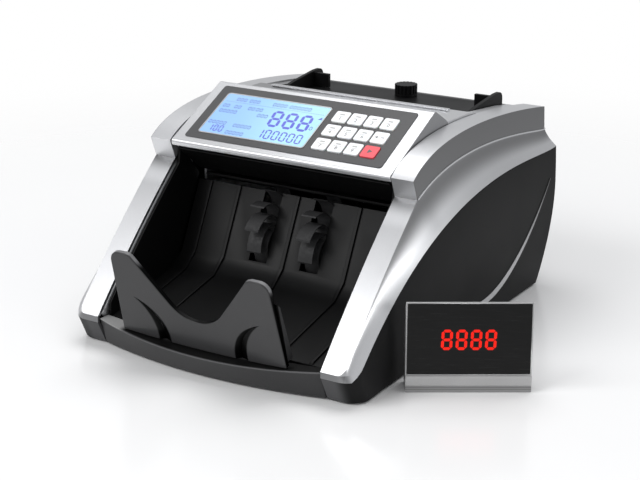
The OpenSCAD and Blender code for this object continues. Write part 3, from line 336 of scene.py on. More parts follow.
def tinted(colour, gain):
    """The colour made stronger or weaker."""
    return tuple(min(1.0, c * gain) for c in tuple(colour)[:3])


def grey(level):
    return (level,) * 3


def new_shader(name):
    return Shader(bpy.data.materials.new(name))


def made(name, build):
    """The finish of that name, built on its first use, beside the frame's plain materials."""
    finish = name + "_finish"
    return bpy.data.materials.get(finish) or build(finish)


def silver_paint(name, colour=None, metal=0.72, rough=0.34, shade=None):
    """Metallic paint: fine flakes, a faint orange peel and soft handling marks.

    A shade function paints light and shade into the colour: it gives the share of full brightness
    at each place.
    """
    colour = colour or colours().silver
    s = new_shader(name)
    flakes = s.cells(2600.0)
    cloud = s.noise(9.0, 3.0)
    peel = s.noise(520.0, 2.0)
    tone = s.between(flakes * 0.6 + cloud * 0.5, 0.15, 0.85)
    base = s.mix(tone, tinted(colour, 0.95), tinted(colour, 1.05))
    if shade:
        base = s.mix(shade(s), grey(0.0), base)
    return s.finish(
        Base_Color=base, Metallic=metal,
        Roughness=s.between(cloud * 0.75 + flakes * 0.25, 0.25, 0.75, rough - 0.035, rough + 0.035),
        Coat_Weight=0.25, Coat_Roughness=0.12,
        Normal=s.bump(peel + flakes * 0.25, 0.00003, 0.25))


def frame_painted_shade(s):
    """Painted shade on the silver side frames: darker in the hollow of the flare and towards its
    back, on the strip at the foot, a little on the rails and on the left frame behind the console,
    with a painted shadow under the bracket.
    """
    d = sizes()
    across, along, up = abs(s.axis("X")), s.axis("Y"), s.axis("Z")
    edge = d.frame_half + 0.1
    flare = s.step(across, edge - 0.25, edge)
    # Painted shade in the hollow of the flare beside the groove, weaker low down
    low_dark = s.step(up, 35.0, 110.0, 0.15, 1.0)
    hollow = s.fall(across, edge, edge + 4.6) * low_dark
    # Painted shade that greys the flare towards the back
    back = s.step(along, -50.0, 60.0)
    # Painted shade on the strip under the front end of the rail
    strip = s.fall(up, d.rail_foot_z - 0.2, d.rail_foot_z + 0.3) * \
        s.fall(along, d.front_y + 2, d.front_y + 6)
    # Painted shade on the lower part of the rails
    rail = s.fall(up, 100.0, 106.0)
    # Painted shade on the left frame behind the console
    left_end = s.fall(s.axis("X"), -90.0, -80.0)
    far = left_end * s.step(along, -30.0, 30.0) * s.step(up, 118.0, 130.0)
    # Painted shadow of the bracket on the rail below it
    bracket = s.fall(along, d.console_y + 8, d.console_y + 10)
    under = s.step(up, 107.0, 118.0, 0.0, 0.75) * bracket
    return 1.0 - flare * (hollow * 0.72 + back * (1.0 - hollow) * 0.1) - strip * 0.5 \
        - under * (1.0 - flare) - rail * (1.0 - flare) * 0.2 - far * 0.55


def frame_paint(name):
    return silver_paint(name, shade=frame_painted_shade)


def rib_painted_shade(s):
    """Painted shade: dark grey on the outer faces of the ribs, which face away from the light."""
    outer = sizes().frame_half
    return s.step(abs(s.axis("X")), outer - 0.3, outer - 0.1, 1.0, 0.2)


def rib_paint(name):
    return silver_paint(name, shade=rib_painted_shade)


def console_painted_shade(s):
    """Painted shade: grey on the two ends of the console."""
    end = sizes().rail_in - 1.1
    return s.step(abs(s.axis("X")), end, end + 0.3, 1.0, 0.5)


def console_paint(name):
    return silver_paint(name, shade=console_painted_shade)


def lip_painted_shade(s):
    """Painted shade, greyer towards the left end of the plate behind the console; its rim is kept
    out of the shade and stays bright.
    """
    rim = s.step(s.axis("Z"), 153.2, 153.6)
    return s.step(s.axis("X"), -85.0, -10.0, 0.5, 1.0) + rim


def lip_paint(name):
    return silver_paint(name, shade=lip_painted_shade)


def satin_plastic(name, colour, rough=0.42, grain=1500.0, depth=0.00005, spread=0.06,
                  shine=0.3):
    """Moulded plastic with a fine spark-eroded grain and slight shine where it is touched."""
    s = new_shader(name)
    pits = s.noise(grain, 4.0, 0.6)
    cloud = s.noise(14.0, 3.0)
    return s.finish(
        Base_Color=s.blend(cloud * 0.7 + pits * 0.3, colour, 0.92, 1.08),
        Roughness=s.drift(cloud, rough - spread, rough + spread),
        Specular_IOR_Level=shine,
        Normal=s.bump(pits, depth, 0.5))


def dark_plastic(name):
    return satin_plastic(name, colours().dark, 0.36)


def pocket_plastic(name):
    return satin_plastic(name, (0.005, 0.005, 0.0052), 0.4, 900.0, shine=0.12)


def foot_rubber(name):
    return satin_plastic(name, grey(0.02), 0.7, 700.0)


def powder_coat(name):
    return satin_plastic(name, (0.03, 0.03, 0.032), 0.5, 500.0, 0.00012)


def gloss_black(name):
    return satin_plastic(name, (0.008, 0.008, 0.0085), 0.16, 700.0, 0.00002, 0.03)


def panel_plastic(name):
    """Black side panels with painted light: the front face of the foot block is painted dark grey
    as a lit face, and the black is painted lighter towards the front.
    """
    d, c = sizes(), colours()
    s = new_shader(name)
    pits = s.noise(1300.0, 4.0, 0.6)
    cloud = s.noise(11.0, 3.0)
    along = s.axis("Y")
    # Painted light on the front face of the foot block, which turns dark grey
    block_back = d.front_y + 12
    front = s.fall(along, block_back - 2.2, block_back)
    corner = s.fall(abs(s.axis("X")), d.corner_x - 3.6, d.corner_x + 7.4)
    # Painted light: the black is lighter towards the front
    near = s.fall(along, -130.0, 20.0)
    black = s.mix(near, tinted(c.black, 0.3), tinted(c.black, 0.7))
    return s.finish(
        Base_Color=s.mix(front * corner, black, tinted(c.dark, 2.5)),
        Specular_IOR_Level=0.06,
        Roughness=s.drift(cloud, 0.38, 0.48),
        Normal=s.bump(pits, 0.00004, 0.45))


def stripe_paint(name, shade=None):
    return silver_paint(name, colours().stripe, 0.55, 0.4, shade)


def crescent_paint(name):
    """Silver crescent that fades to dark towards its top."""
    return stripe_paint(name, lambda s: s.step(s.axis("Z"), 20.0, 85.0, 1.0, 0.2))


def front_plastic(name):
    """Dark front with painted light: a painted highlight on its top edge, a painted shadow that
    makes the ledge on top black, and painted light that makes the ledge's left end grey.
    """
    d, c = sizes(), colours()
    s = new_shader(name)
    pits = s.noise(1500.0, 4.0, 0.6)
    cloud = s.noise(14.0, 3.0)
    across = s.axis("X")
    share = across / (d.pocket_half * MM)
    bow = 1.0 - share * share
    behind = s.axis("Y") - ((d.front_y + LEDGE_SET) * MM - bow * LEDGE_BOW * MM)
    above = s.axis("Z") - ((d.rail_foot_z - LEDGE_DROP) * MM - bow * LEDGE_SAG * MM)
    top = s.step(above, -0.9, -0.5)
    # Painted shadow: the ledge on top is black
    ledge = s.step(behind, 1.2, 2.0) * top * s.step(across, -73.0, -67.0)
    # Painted light: the left end of the ledge is grey, as where it is lit
    painted_light_toe = top * s.fall(across, -73.0, -67.0)
    # Painted highlight along the top edge
    edge = s.fall(behind, 1.2, 2.0) * s.step(above, -1.2, -0.5)
    base = s.blend(cloud * 0.7 + pits * 0.3, c.dark, 0.92, 1.08)
    base = s.mix(edge, base, tinted(c.dark, 2.6))
    base = s.mix(ledge, base, grey(0.006))
    base = s.mix(painted_light_toe, base, grey(0.22))
    return s.finish(
        Base_Color=base, Roughness=s.drift(cloud, 0.36, 0.46),
        Specular_IOR_Level=0.25, Normal=s.bump(pits, 0.00004, 0.5))


def gate_plastic(name):
    """Dark plastic of the gate, with painted shade that makes the inside of its recesses black and
    a painted highlight that makes the rims of its horns pale.
    """
    d, c = sizes(), colours()
    s = new_shader(name)
    pits = s.noise(1300.0, 4.0, 0.6)
    cloud = s.noise(16.0, 3.0)
    up = s.axis("Z")
    behind = (s.axis("Y") - gate_foot_y(d) * MM) * math.cos(GATE_LEAN) + up * math.sin(GATE_LEAN)
    horn = s.step(up, 73.0, 80.0)
    # Painted shade: the recesses are black inside
    deep = s.step(behind, 0.2, 0.7) * s.fall(behind, 3.6, 3.9) * (1.0 - horn)
    # Painted highlight on the rims of the horns
    rim = s.step(behind, 0.6, 1.2) * horn
    face = s.blend(cloud * 0.7 + pits * 0.3, c.dark, 1.15, 1.35)
    base = s.mix(deep, face, grey(0.005))
    base = s.mix(rim, base, tinted(c.dark, 5.0))
    return s.finish(
        Base_Color=base, Metallic=deep, Roughness=s.drift(cloud, 0.28, 0.38),
        Specular_IOR_Level=0.22, Normal=s.bump(pits, 0.00003, 0.5))


def keypad_film(name):
    """Printed polyester film: very fine texture, satin."""
    s = new_shader(name)
    weave = s.noise(2400.0, 2.0)
    cloud = s.noise(25.0, 2.0)
    colour = colours().overlay
    base = s.mix(s.between(cloud, 0.35, 0.65), tinted(colour, 0.94), tinted(colour, 1.06))
    return s.finish(
        Base_Color=base, Roughness=s.drift(weave, 0.42, 0.52),
        Normal=s.bump(weave, 0.00002, 0.4))


def display_light(name):
    """Backlit display: a soft light gradient and a faint cell raster."""
    c = colours()
    s = new_shader(name)
    along = s.step(s.axis("X"), WINDOW[0], WINDOW[2])
    fade = s.noise(22.0, 1.0)
    raster = s.bands(900.0)
    hue = s.mix(s.between(along + (fade - 0.5) * 0.25, 0.0, 1.0), c.display_left, c.display_right)
    hue = s.mix(raster * 0.04, hue, tinted(c.display_left, 0.8))
    return s.finish(
        Base_Color=s.mix(0.92, hue, (0.01, 0.015, 0.02)), Emission_Color=hue,
        Emission_Strength=0.93, Roughness=0.2, Specular_IOR_Level=0.2)


def display_ink(name):
    """Dark ink of the display's digits."""
    s = new_shader(name)
    base = s.blend(s.noise(1800.0, 1.0), colours().digits, 0.9, 1.1)
    return s.finish(
        Base_Color=s.mix(0.8, base, (0.0, 0.0, 0.02)), Emission_Color=base,
        Emission_Strength=0.9, Roughness=0.35, Specular_IOR_Level=0.2)


def small_ink(name):
    """Ink of the small marks, between the digits and the lit layer in tone."""
    s = new_shader(name)
    dots = s.noise(1500.0, 1.0)
    base = s.mix(s.drift(dots), (0.06, 0.10, 0.60), (0.08, 0.13, 0.66))
    return s.finish(
        Base_Color=(0.01, 0.01, 0.03), Emission_Color=base, Emission_Strength=0.9,
        Roughness=0.35, Specular_IOR_Level=0.2)


def clear_cover(name):
    """Clear sheet over the display, with a faint smear."""
    s = new_shader(name)
    smear = s.noise(30.0, 4.0, 0.6)
    return s.finish(
        Base_Color=(0.8, 0.9, 1.0), Alpha=s.between(smear, 0.3, 0.8, 0.05, 0.09),
        Roughness=s.drift(smear, 0.05, 0.12))


def key_plastic(name, colour):
    """Silicone key cap with a light, uneven dust of wear."""
    s = new_shader(name)
    grain = s.noise(1700.0, 3.0)
    cloud = s.noise(160.0, 2.0)
    base = s.mix(s.between(cloud, 0.35, 0.65), tinted(colour, 0.97), tinted(colour, 1.02))
    return s.finish(
        Base_Color=base, Roughness=s.drift(grain, 0.36, 0.5),
        Subsurface_Weight=0.05, Normal=s.bump(grain, 0.00002, 0.3))


def white_key(name):
    return key_plastic(name, colours().key_white)


def red_key(name):
    return key_plastic(name, colours().key_red)


def key_ink(name, level=0.10):
    """Ink of the marks on the keys."""
    s = new_shader(name)
    return s.finish(Base_Color=s.blend(s.noise(2000.0, 2.0), grey(level), 1.0, 1.25), Roughness=0.5)


def pale_ink(name):
    return key_ink(name, 0.36)


def lit_digits(name):
    """Red lit segments of the separate display."""
    s = new_shader(name)
    hue = s.blend(s.noise(600.0, 1.0), colours().led, 0.85, 1.0)
    return s.finish(
        Base_Color=s.mix(0.9, hue, (0.02, 0.0, 0.0)), Emission_Color=hue,
        Emission_Strength=1.0, Roughness=0.4, Specular_IOR_Level=0.1)


def dark_window(name):
    """Tinted acrylic with a soft gloss and a few hairline marks."""
    s = new_shader(name)
    hair = s.noise(60.0, 5.0, 0.7, s.stretched((1.0, 1.0, 14.0)))
    return s.finish(
        Base_Color=s.mix(s.between(hair, 0.4, 0.7), grey(0.009), grey(0.012)),
        Roughness=s.between(hair, 0.35, 0.75, 0.2, 0.3), Specular_IOR_Level=0.12)


def case_paint(name):
    """Silver case of the separate display: a bright strip, a dark foot with two dark lines."""
    s = new_shader(name)
    cloud = s.noise(30.0, 3.0)
    flakes = s.cells(2600.0)
    up = s.axis("Z")
    foot = s.fall(up, 4.4, 4.8)
    lower_line = s.step(up, 1.8, 2.0) * s.fall(up, 2.2, 2.4)
    upper_line = s.step(up, 3.1, 3.3) * s.fall(up, 3.5, 3.7)
    base = s.mix(s.between(cloud * 0.6 + flakes * 0.4, 0.2, 0.8), grey(0.40), grey(0.47))
    base = s.mix(foot, base, grey(0.27))
    base = s.mix(lower_line + upper_line, base, grey(0.12))
    return s.finish(
        Base_Color=base, Metallic=s.between(foot, 0.0, 1.0, 0.6, 0.2),
        Roughness=s.drift(cloud, 0.32, 0.42), Normal=s.bump(flakes, 0.00002, 0.3))


def turned_steel(name, colour=(0.58, 0.59, 0.61), rough=0.28):
    """Turned or drawn steel: fine rings along X."""
    s = new_shader(name)
    rings = s.noise(60.0, 4.0, 0.6, s.stretched((60.0, 1.0, 1.0)))
    cloud = s.noise(40.0, 2.0)
    return s.finish(
        Base_Color=s.blend(rings * 0.6 + cloud * 0.4, colour, 0.88, 1.08), Metallic=1.0,
        Roughness=s.drift(cloud, rough - 0.06, rough + 0.08),
        Normal=s.bump(rings, 0.00003, 0.4))


def plated_sheet(name):
    """Zinc plated sheet: soft spangle and a rolling grain."""
    s = new_shader(name)
    spangle = s.cells(140.0)
    grain = s.noise(50.0, 4.0, 0.6, s.stretched((1.0, 30.0, 2.0)))
    base = s.mix(s.between(spangle, 0.1, 0.7), (0.47, 0.48, 0.5), (0.6, 0.61, 0.63))
    return s.finish(
        Base_Color=base, Metallic=1.0, Roughness=s.drift(grain, 0.3, 0.46),
        Normal=s.bump(grain, 0.00003, 0.35))


def motor_can(name):
    return turned_steel(name, (0.4, 0.41, 0.43), 0.36)


def roller_alloy(name):
    return turned_steel(name, (0.72, 0.73, 0.75), 0.24)


def bush_brass(name):
    return turned_steel(name, (0.62, 0.47, 0.2), 0.38)


def tyre_rubber(name, colour=(0.022, 0.022, 0.023)):
    """Ground rubber with a fine nap, ribs round it and dust."""
    s = new_shader(name)
    nap = s.noise(420.0, 4.0, 0.65)
    ribs = s.bands(160.0, 1.2)
    dust = s.noise(60.0, 3.0)
    return s.finish(
        Base_Color=s.mix(s.between(dust, 0.45, 0.8), colour, tinted(colour, 1.5)),
        Roughness=s.drift(nap, 0.6, 0.8),
        Normal=s.bump(nap + ribs * 0.6, 0.00008, 0.6))


def pickup_rubber(name):
    return tyre_rubber(name, (0.5, 0.2, 0.055))


def solder_mask(name):
    """Green board with copper tracks under the mask."""
    s = new_shader(name)
    tracks = s.node("ShaderNodeTexBrick", {"offset": 0.37}, {
        "Vector": s.place(), "Scale": 90.0, "Mortar Size": 0.035, "Bias": 0.0,
        "Brick Width": 0.9, "Row Height": 0.35}, "Fac")
    cloud = s.noise(30.0, 2.0)
    green = s.mix(s.drift(cloud), (0.012, 0.075, 0.028), (0.02, 0.1, 0.04))
    return s.finish(
        Base_Color=s.mix(tracks * 0.7, green, (0.06, 0.2, 0.075)), Roughness=0.3,
        Coat_Weight=0.4, Normal=s.bump(tracks, 0.00003, 0.4))


def paper_board(name):
    """Brown paper board of the power supply, with its fibres."""
    s = new_shader(name)
    fibre = s.noise(220.0, 4.0, 0.6, s.stretched((1.0, 3.0, 1.0)))
    base = s.mix(s.drift(fibre), (0.27, 0.17, 0.05), (0.38, 0.25, 0.08))
    return s.finish(
        Base_Color=base, Roughness=s.drift(fibre, 0.4, 0.6),
        Normal=s.bump(fibre, 0.00004, 0.4))


def switch_red(name):
    """Glossy red rocker with a faint swirl."""
    s = new_shader(name)
    swirl = s.noise(120.0, 3.0)
    base = s.mix(s.drift(swirl), (0.33, 0.012, 0.012), (0.45, 0.02, 0.018))
    return s.finish(
        Base_Color=base, Roughness=s.drift(swirl, 0.16, 0.26), Coat_Weight=0.4)


# ---------------------------------------------------------------- meshes


# Points nearer than these are joined, in metres
JOIN_DISTANCE = 2e-6
FINE_DISTANCE = 1e-6
# Edges sharper than these, in degrees, are rounded or kept sharp
CREASE = 34
SMOOTH_LIMIT = 38
PANEL_CREASE = 40
CORNER_CREASE = 50


def shown(name, data):
    """An object of the scene that shows a mesh, a curve, a light or a camera."""
    piece = bpy.data.objects.new(name, data)
    bpy.context.scene.collection.objects.link(piece)
    return piece


def new_object(name, points, faces, material):
    """A mesh from points in millimetres."""
    mesh = bpy.data.meshes.new(name)
    mesh.from_pydata([tuple(c * MM for c in p) for p in points], [], faces)
    work = bmesh.new()
    work.from_mesh(mesh)
    bmesh.ops.remove_doubles(work, verts=work.verts, dist=JOIN_DISTANCE)
    bmesh.ops.dissolve_degenerate(work, edges=work.edges, dist=FINE_DISTANCE)
    bmesh.ops.recalc_face_normals(work, faces=work.faces)
    work.to_mesh(mesh)
    work.free()
    mesh.shade_smooth()
    mesh.materials.append(material)
    return shown(name, mesh)


def settle(piece, body, slot, *nodes):
    """The piece rides on a body and stands for CAD nodes, which are hidden; its slot is not used.
    """
    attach(piece, body)
    if nodes:
        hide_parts(*nodes)
    return piece


def add_modifier(piece, kind, **settings):
    modifier = piece.modifiers.new(kind.title(), kind)
    for name, value in settings.items():
        setattr(modifier, name, value)
    return modifier


def final_mesh(piece):
    """Mesh of a piece with its modifiers worked in."""
    graph = bpy.context.evaluated_depsgraph_get()
    return bpy.data.meshes.new_from_object(piece.evaluated_get(graph))


def bake(piece):
    """The piece with its modifiers worked into its own mesh."""
    mesh = final_mesh(piece)
    piece.modifiers.clear()
    piece.data = mesh
    mesh.name = piece.name
    return piece


def add_bevel(piece, radius, count, angle, **settings):
    """Rounds the edges that are sharper than an angle."""
    add_modifier(piece, "BEVEL", width=radius * MM, segments=count, limit_method="ANGLE",
                 angle_limit=math.radians(angle), **settings)


def broken(piece, radius, count, angle):
    """The piece with its sharper edges rounded, and its shading left as it is."""
    add_bevel(piece, radius, count, angle)
    return bake(piece)


def rounded(piece, radius, count, angle):
    """Rounds the edges sharper than an angle, then shades flats flat and curves smooth."""
    add_bevel(piece, radius, count, angle, use_clamp_overlap=True, miter_outer="MITER_ARC")
    bake(piece)
    return smoothed(piece)


def even_normals(piece):
    add_modifier(piece, "WEIGHTED_NORMAL", keep_sharp=True, weight=60)
    return piece


def smoothed(piece):
    """Flats are shaded flat and curves smooth."""
    piece.data.shade_smooth()
    piece.data.set_sharp_from_angle(angle=math.radians(SMOOTH_LIMIT))
    return even_normals(piece)


def flat(piece):
    piece.data.shade_flat()
    return piece


def carved(piece, cutter):
    """The piece with the cutter's volume taken out; the cutter goes."""
    add_modifier(piece, "BOOLEAN", operation="DIFFERENCE", solver="EXACT", object=cutter)
    bake(piece)
    bpy.data.objects.remove(cutter)
    return piece


def thickened(piece, wall):
    """The sheet with a wall grown inwards."""
    add_modifier(piece, "SOLIDIFY", thickness=wall * MM, offset=-1.0,
                 use_quality_normals=True)
    return piece


def strip_faces(rows, columns, closed=False):
    """Quads of a grid of rows by columns; closed joins the last column to the first."""
    faces = []
    for i in range(rows - 1):
        for j in range(columns if closed else columns - 1):
            k = (j + 1) % columns
            faces.append((i * columns + j, i * columns + k, (i + 1) * columns + k,
                          (i + 1) * columns + j))
    return faces


def grid_object(name, rows, material):
    """Open sheet through rows of points."""
    points = [p for row in rows for p in row]
    return new_object(name, points, strip_faces(len(rows), len(rows[0])), material)


def loft_object(name, rings, material):
    """Closed solid through rings of points."""
    count = len(rings[0])
    faces = strip_faces(len(rings), count, True)
    faces.append(tuple(range(count))[::-1])
    faces.append(tuple((len(rings) - 1) * count + j for j in range(count)))
    return new_object(name, [p for ring in rings for p in ring], faces, material)


def round_corners(points, radii):
    """A polygon with its corners rounded; a radius of 0 keeps a corner.

    Each round has as many steps as the polygon has corners.
    """
    outline = []
    count = len(points)
    for i, (corner, radius) in enumerate(zip(points, radii)):
        corner = Vector(corner)
        before = (Vector(points[i - 1]) - corner).normalized()
        after = (Vector(points[(i + 1) % count]) - corner).normalized()
        half = before.angle(after) / 2
        straight = abs(half - math.pi / 2) < 0.01
        if radius <= 0 or straight:
            outline.append(tuple(corner))
            continue
        back = radius / math.tan(half)
        middle = corner + (before + after).normalized() * (radius / math.sin(half))
        start = corner + before * back - middle
        end = corner + after * back - middle
        turn = start.angle_signed(end)
        for k in range(count + 1):
            angle = -turn * k / count
            c, s = math.cos(angle), math.sin(angle)
            outline.append((middle[0] + start[0] * c - start[1] * s,
                            middle[1] + start[0] * s + start[1] * c))
    return outline


def plate_object(name, outlines, low, high, bevel, material, matrix):
    """Flat plate with holes: its first outline is the rim and the others are holes."""
    curve = bpy.data.curves.new(name, "CURVE")
    curve.dimensions = "2D"
    curve.fill_mode = "BOTH"
    curve.extrude = ((high - low) / 2 - bevel) * MM
    curve.bevel_depth = bevel * MM
    curve.bevel_resolution = 2
    curve.offset = -bevel * MM
    for outline in outlines:
        spline = curve.splines.new("POLY")
        spline.points.add(len(outline) - 1)
        for point, place in zip(spline.points, outline):
            point.co = (place[0] * MM, place[1] * MM, 0.0, 1.0)
        spline.use_cyclic_u = True
    return solid_from_curve(name, curve, (low + high) / 2, material, matrix)


def solid_from_curve(name, curve, level, material, matrix):
    """A solid from a filled curve, whose middle plane lies at a level."""
    holder = shown(name + "_outline", curve)
    bpy.context.view_layer.update()
    mesh = final_mesh(holder)
    bpy.data.objects.remove(holder)
    bpy.data.curves.remove(curve)
    mesh.transform(Matrix.Translation((0, 0, level * MM)))
    mesh.transform(matrix)
    work = bmesh.new()
    work.from_mesh(mesh)
    bmesh.ops.remove_doubles(work, verts=work.verts, dist=FINE_DISTANCE)
    work.to_mesh(mesh)
    work.free()
    mesh.materials.clear()
    mesh.materials.append(material)
    return smoothed(shown(name, mesh))


# Size of the built-in font over the height of its digits
FONT_SIZE = 1.42


def text_object(name, text, height, level, thick, material, matrix, middle):
    """Flat digits of the built-in font, centred on a point of the plane."""
    curve = bpy.data.curves.new(name, "FONT")
    curve.body = text
    curve.size = height * FONT_SIZE * MM
    curve.align_x = "CENTER"
    curve.align_y = "CENTER"
    curve.extrude = thick / 2 * MM
    curve.resolution_u = 3
    shift = Matrix.Translation((middle[0] * MM, middle[1] * MM, 0))
    return solid_from_curve(name, curve, level + thick / 2, material, matrix @ shift)


# Stands an outline of (y, z) upright, with its levels along X
ALONG_X = Matrix(((0, 0, 1, 0), (1, 0, 0, 0), (0, 1, 0, 0), (0, 0, 0, 1)))


def blocks_object(name, blocks, material, matrix=None):
    """Solid blocks, each an outline between two levels, as one object."""
    points, faces = [], []
    for outline, low, high in blocks:
        prism_faces(outline, low, high, points, faces)
    piece = new_object(name, points, faces, material)
    if matrix is not None:
        piece.data.transform(matrix)
    return piece


def rectangle(x0, y0, x1, y1):
    return [(x0, y0), (x1, y0), (x1, y1), (x0, y1)]


def soft_rectangle(x0, y0, x1, y1, radius):
    return round_corners(rectangle(x0, y0, x1, y1), [radius] * 4)


def inset(box, edge):
    """A box (x0, y0, x1, y1) made smaller on each side."""
    x0, y0, x1, y1 = box
    return x0 + edge, y0 + edge, x1 - edge, y1 - edge


def prism_faces(outline, low, high, points, faces):
    """Adds the points and faces of an upright block to two lists."""
    start = len(points)
    count = len(outline)
    points += [(x, y, low) for x, y in outline] + [(x, y, high) for x, y in outline]
    faces.append(tuple(range(start, start + count))[::-1])
    faces.append(tuple(range(start + count, start + 2 * count)))
    for i in range(count):
        j = (i + 1) % count
        faces.append((start + i, start + j, start + count + j, start + count + i))


# Lit segments of each digit: a to f run clockwise from the top, g is in the middle
SEGMENTS = {
    "0": "abcdef", "1": "bc", "2": "abged", "3": "abgcd", "4": "fgbc", "5": "afgcd",
    "6": "afgedc", "7": "abc", "8": "abcdefg", "9": "abcdfg",
}
# Gap between segments over their stroke, and width of a digit over its pitch
SEGMENT_GAP = 0.12
DIGIT_SHARE = 0.78


def segment_outlines(digit, w, h, stroke):
    """Outlines of the lit segments of one digit, in a box of w by h."""
    g = stroke * SEGMENT_GAP
    half = stroke / 2
    m = h / 2
    bars = {
        "a": (half, h - half, w - half, h - half), "g": (half, m, w - half, m),
        "d": (half, half, w - half, half),
        "f": (half, m, half, h - half), "b": (w - half, m, w - half, h - half),
        "e": (half, half, half, m), "c": (w - half, half, w - half, m),
    }
    outlines = []
    for name in SEGMENTS[digit]:
        x0, y0, x1, y1 = bars[name]
        flat_bar = y0 == y1
        a, b = (x0, x1) if flat_bar else (y0, y1)
        bar = [(a + g, 0), (a + g + half, half), (b - g - half, half), (b - g, 0),
               (b - g - half, -half), (a + g + half, -half)]
        outlines.append([(u, y0 + v) if flat_bar else (x0 + v, u) for u, v in bar])
    return outlines


def segment_digits(name, text, box, stroke, slant, level, thick, material, matrix):
    """A row of seven-segment digits that fills box = (x, y, width, height)."""
    x0, y0, width, height = box
    pitch = width / (len(text) - 1 + DIGIT_SHARE)
    w = pitch * DIGIT_SHARE
    points, faces = [], []
    for i, digit in enumerate(text):
        for outline in segment_outlines(digit, w, height, stroke):
            placed = [(x0 + i * pitch + x + slant * (y - height / 2), y0 + y) for x, y in outline]
            prism_faces(placed, level, level + thick, points, faces)
    piece = new_object(name, points, faces, material)
    piece.data.transform(matrix)
    return flat(piece)


# ---------------------------------------------------------------- outlines of the body


def curve3(a, b, c, d, t):
    """Point of a cubic curve from a to d."""
    u = 1 - t
    return tuple(u**3 * a[i] + 3 * u * u * t * b[i] + 3 * u * t * t * c[i] + t**3 * d[i]
                 for i in (0, 1))


def curve2(a, b, c, t):
    """Point of a quadratic curve from a to c."""
    u = 1 - t
    return tuple(u * u * a[i] + 2 * u * t * b[i] + t * t * c[i] for i in (0, 1))


def steps(count):
    """Shares from 0 to 1 in equal steps."""
    return [i / count for i in range(count + 1)]


def part_of(a, b, v):
    """How far a value has come from a to b, from 0 to 1."""
    return max(0.0, min(1.0, (v - a) / (b - a)))


def smooth(t):
    t = max(0.0, min(1.0, t))
    return t * t * (3 - 2 * t)


def arc(centre, r, a, b, count):
    """Points round a circle from the angle a to the angle b."""
    return [(centre[0] + r * math.cos(a + (b - a) * t), centre[1] + r * math.sin(a + (b - a) * t))
            for t in steps(count)]


def tangent_point(centre, r, outside):
    """Point where the line from outside touches a circle, on its lower right side."""
    dx, dy = outside[0] - centre[0], outside[1] - centre[1]
    reach = math.hypot(dx, dy)
    angle = math.atan2(dy, dx) - math.acos(r / reach)
    return centre[0] + r * math.cos(angle), centre[1] + r * math.sin(angle)


class Outline:
    """Curves of the machine seen from the side, as (y, z).

    Their points are offsets from the console's front edge and from the back of the machine.
    """

    def __init__(self, d):
        self.d = d
        self.rail_start = (d.front_y, d.rail_foot_z)
        self.rail_end = self.from_console(6.5, d.bracket_z - d.console_z)

    def from_console(self, y, z):
        return self.d.console_y + y, self.d.console_z + z

    def from_back(self, y, z):
        return self.d.back_y + y, self.d.console_z + z

    def rail(self, t):
        return curve2(self.rail_start, self.from_console(-44, -58), self.rail_end, t)

    def groove(self, t):
        return curve3(self.rail_end, self.from_console(77, 20), self.from_back(-5, -15),
                      self.from_back(-7, -10), t)

    def rib(self, t):
        return curve3(self.from_console(0, -0.5), self.from_console(39, 32),
                      self.from_back(-54, 15), self.from_back(-9, 7.5), t)

    def panel(self, t):
        start = (self.d.front_y + CORNER_DEPTH, self.d.block_h)
        return curve3(start, self.from_console(29, 5), self.from_back(-40, -30),
                      self.from_back(0, -25), t)

    def frame(self, t):
        """Top edge of the side frame: the rail, then the groove beside the rib."""
        return self.rail(t / RAIL_SHARE) if t < RAIL_SHARE \
            else self.groove((t - RAIL_SHARE) / (1 - RAIL_SHARE))

    def side_x(self, y):
        """Half width of the machine at y, less at the round front corners."""
        d = self.d
        if y >= d.corner_y:
            return d.side_half
        return d.side_half - d.corner_r + math.sqrt(
            max(0.0, d.corner_r**2 - (d.corner_y - y) ** 2))


# The back edge tucks in below a height, and the foot blocks are set back at the floor
TUCK_HEIGHT, TUCK_LENGTH, TUCK_POWER, TUCK_RUN = 80.0, 26.0, 1.8, 120.0
FOOT_LEAN, LEAN_RUN = 9.0, 90.0
# Swell of the side panels: outwards at half height, inwards at the foot, and its run-in
SWELL_OUT, SWELL_IN, SWELL_RUN = 5.2, 0.8, 30.0


def lean_shift(d, y, z):
    low = max(0.0, 1 - z / d.block_h)
    return FOOT_LEAN * low * (1 - part_of(d.front_y, d.front_y + LEAN_RUN, y))


def tuck_shift(d, y, z):
    low = max(0.0, (TUCK_HEIGHT - z) / TUCK_HEIGHT)
    return -TUCK_LENGTH * low**TUCK_POWER * part_of(d.back_y - TUCK_RUN, d.back_y, y)


def bulge(d, y, v):
    swell = SWELL_OUT * v * (1 - v) - SWELL_IN * (1 - v) ** 2
    return part_of(d.corner_y, d.corner_y + SWELL_RUN, y) * swell


# Faces across the rail and down the flare, and rows round the corner and along the side
ACROSS, DOWN = 6, 22
CORNER_STEPS, FRAME_STEPS = 9, 110
# Depth in which the rail's height is read at the corner, and the corner's share of the top edge
RAIL_DEPTH, CORNER_SHARE = 92.0, 0.021
# How hollow the flare is: in front, beside the rail and beside the rib, and where it changes
FLARE_FRONT, FLARE_RAIL, FLARE_RIB = 1.0, 1.5, 1.85
FLARE_LEAD, FLARE_CHANGE = 0.02, 0.05
# Steps along the rib and its bead, along the cheek and along the side panel
RIB_STEPS, CHEEK_STEPS, PANEL_STEPS = 64, 30, 120
# Faces up the side panel, across its foot block and round the corner
PANEL_LEVELS, BLOCK_STEPS, TURN_STEPS = 26, 6, 10
# How deep the rib is sunk into the frame, and the section of the bead as (x, z)
RIB_SUNK = 2.4
BEAD = ((-0.4, 0.3), (0.55, 0.3), (0.75, -0.55), (-0.4, -0.9))


def corner_turn(d):
    """Angle of the front corner, up to where the panel's top edge starts."""
    return math.acos((d.corner_r - CORNER_DEPTH) / d.corner_r)


def corner_point(d, angle):
    """Point (x, y) of the round front corner, seen from above."""
    return (d.corner_x + d.corner_r * math.sin(angle), d.corner_y - d.corner_r * math.cos(angle))


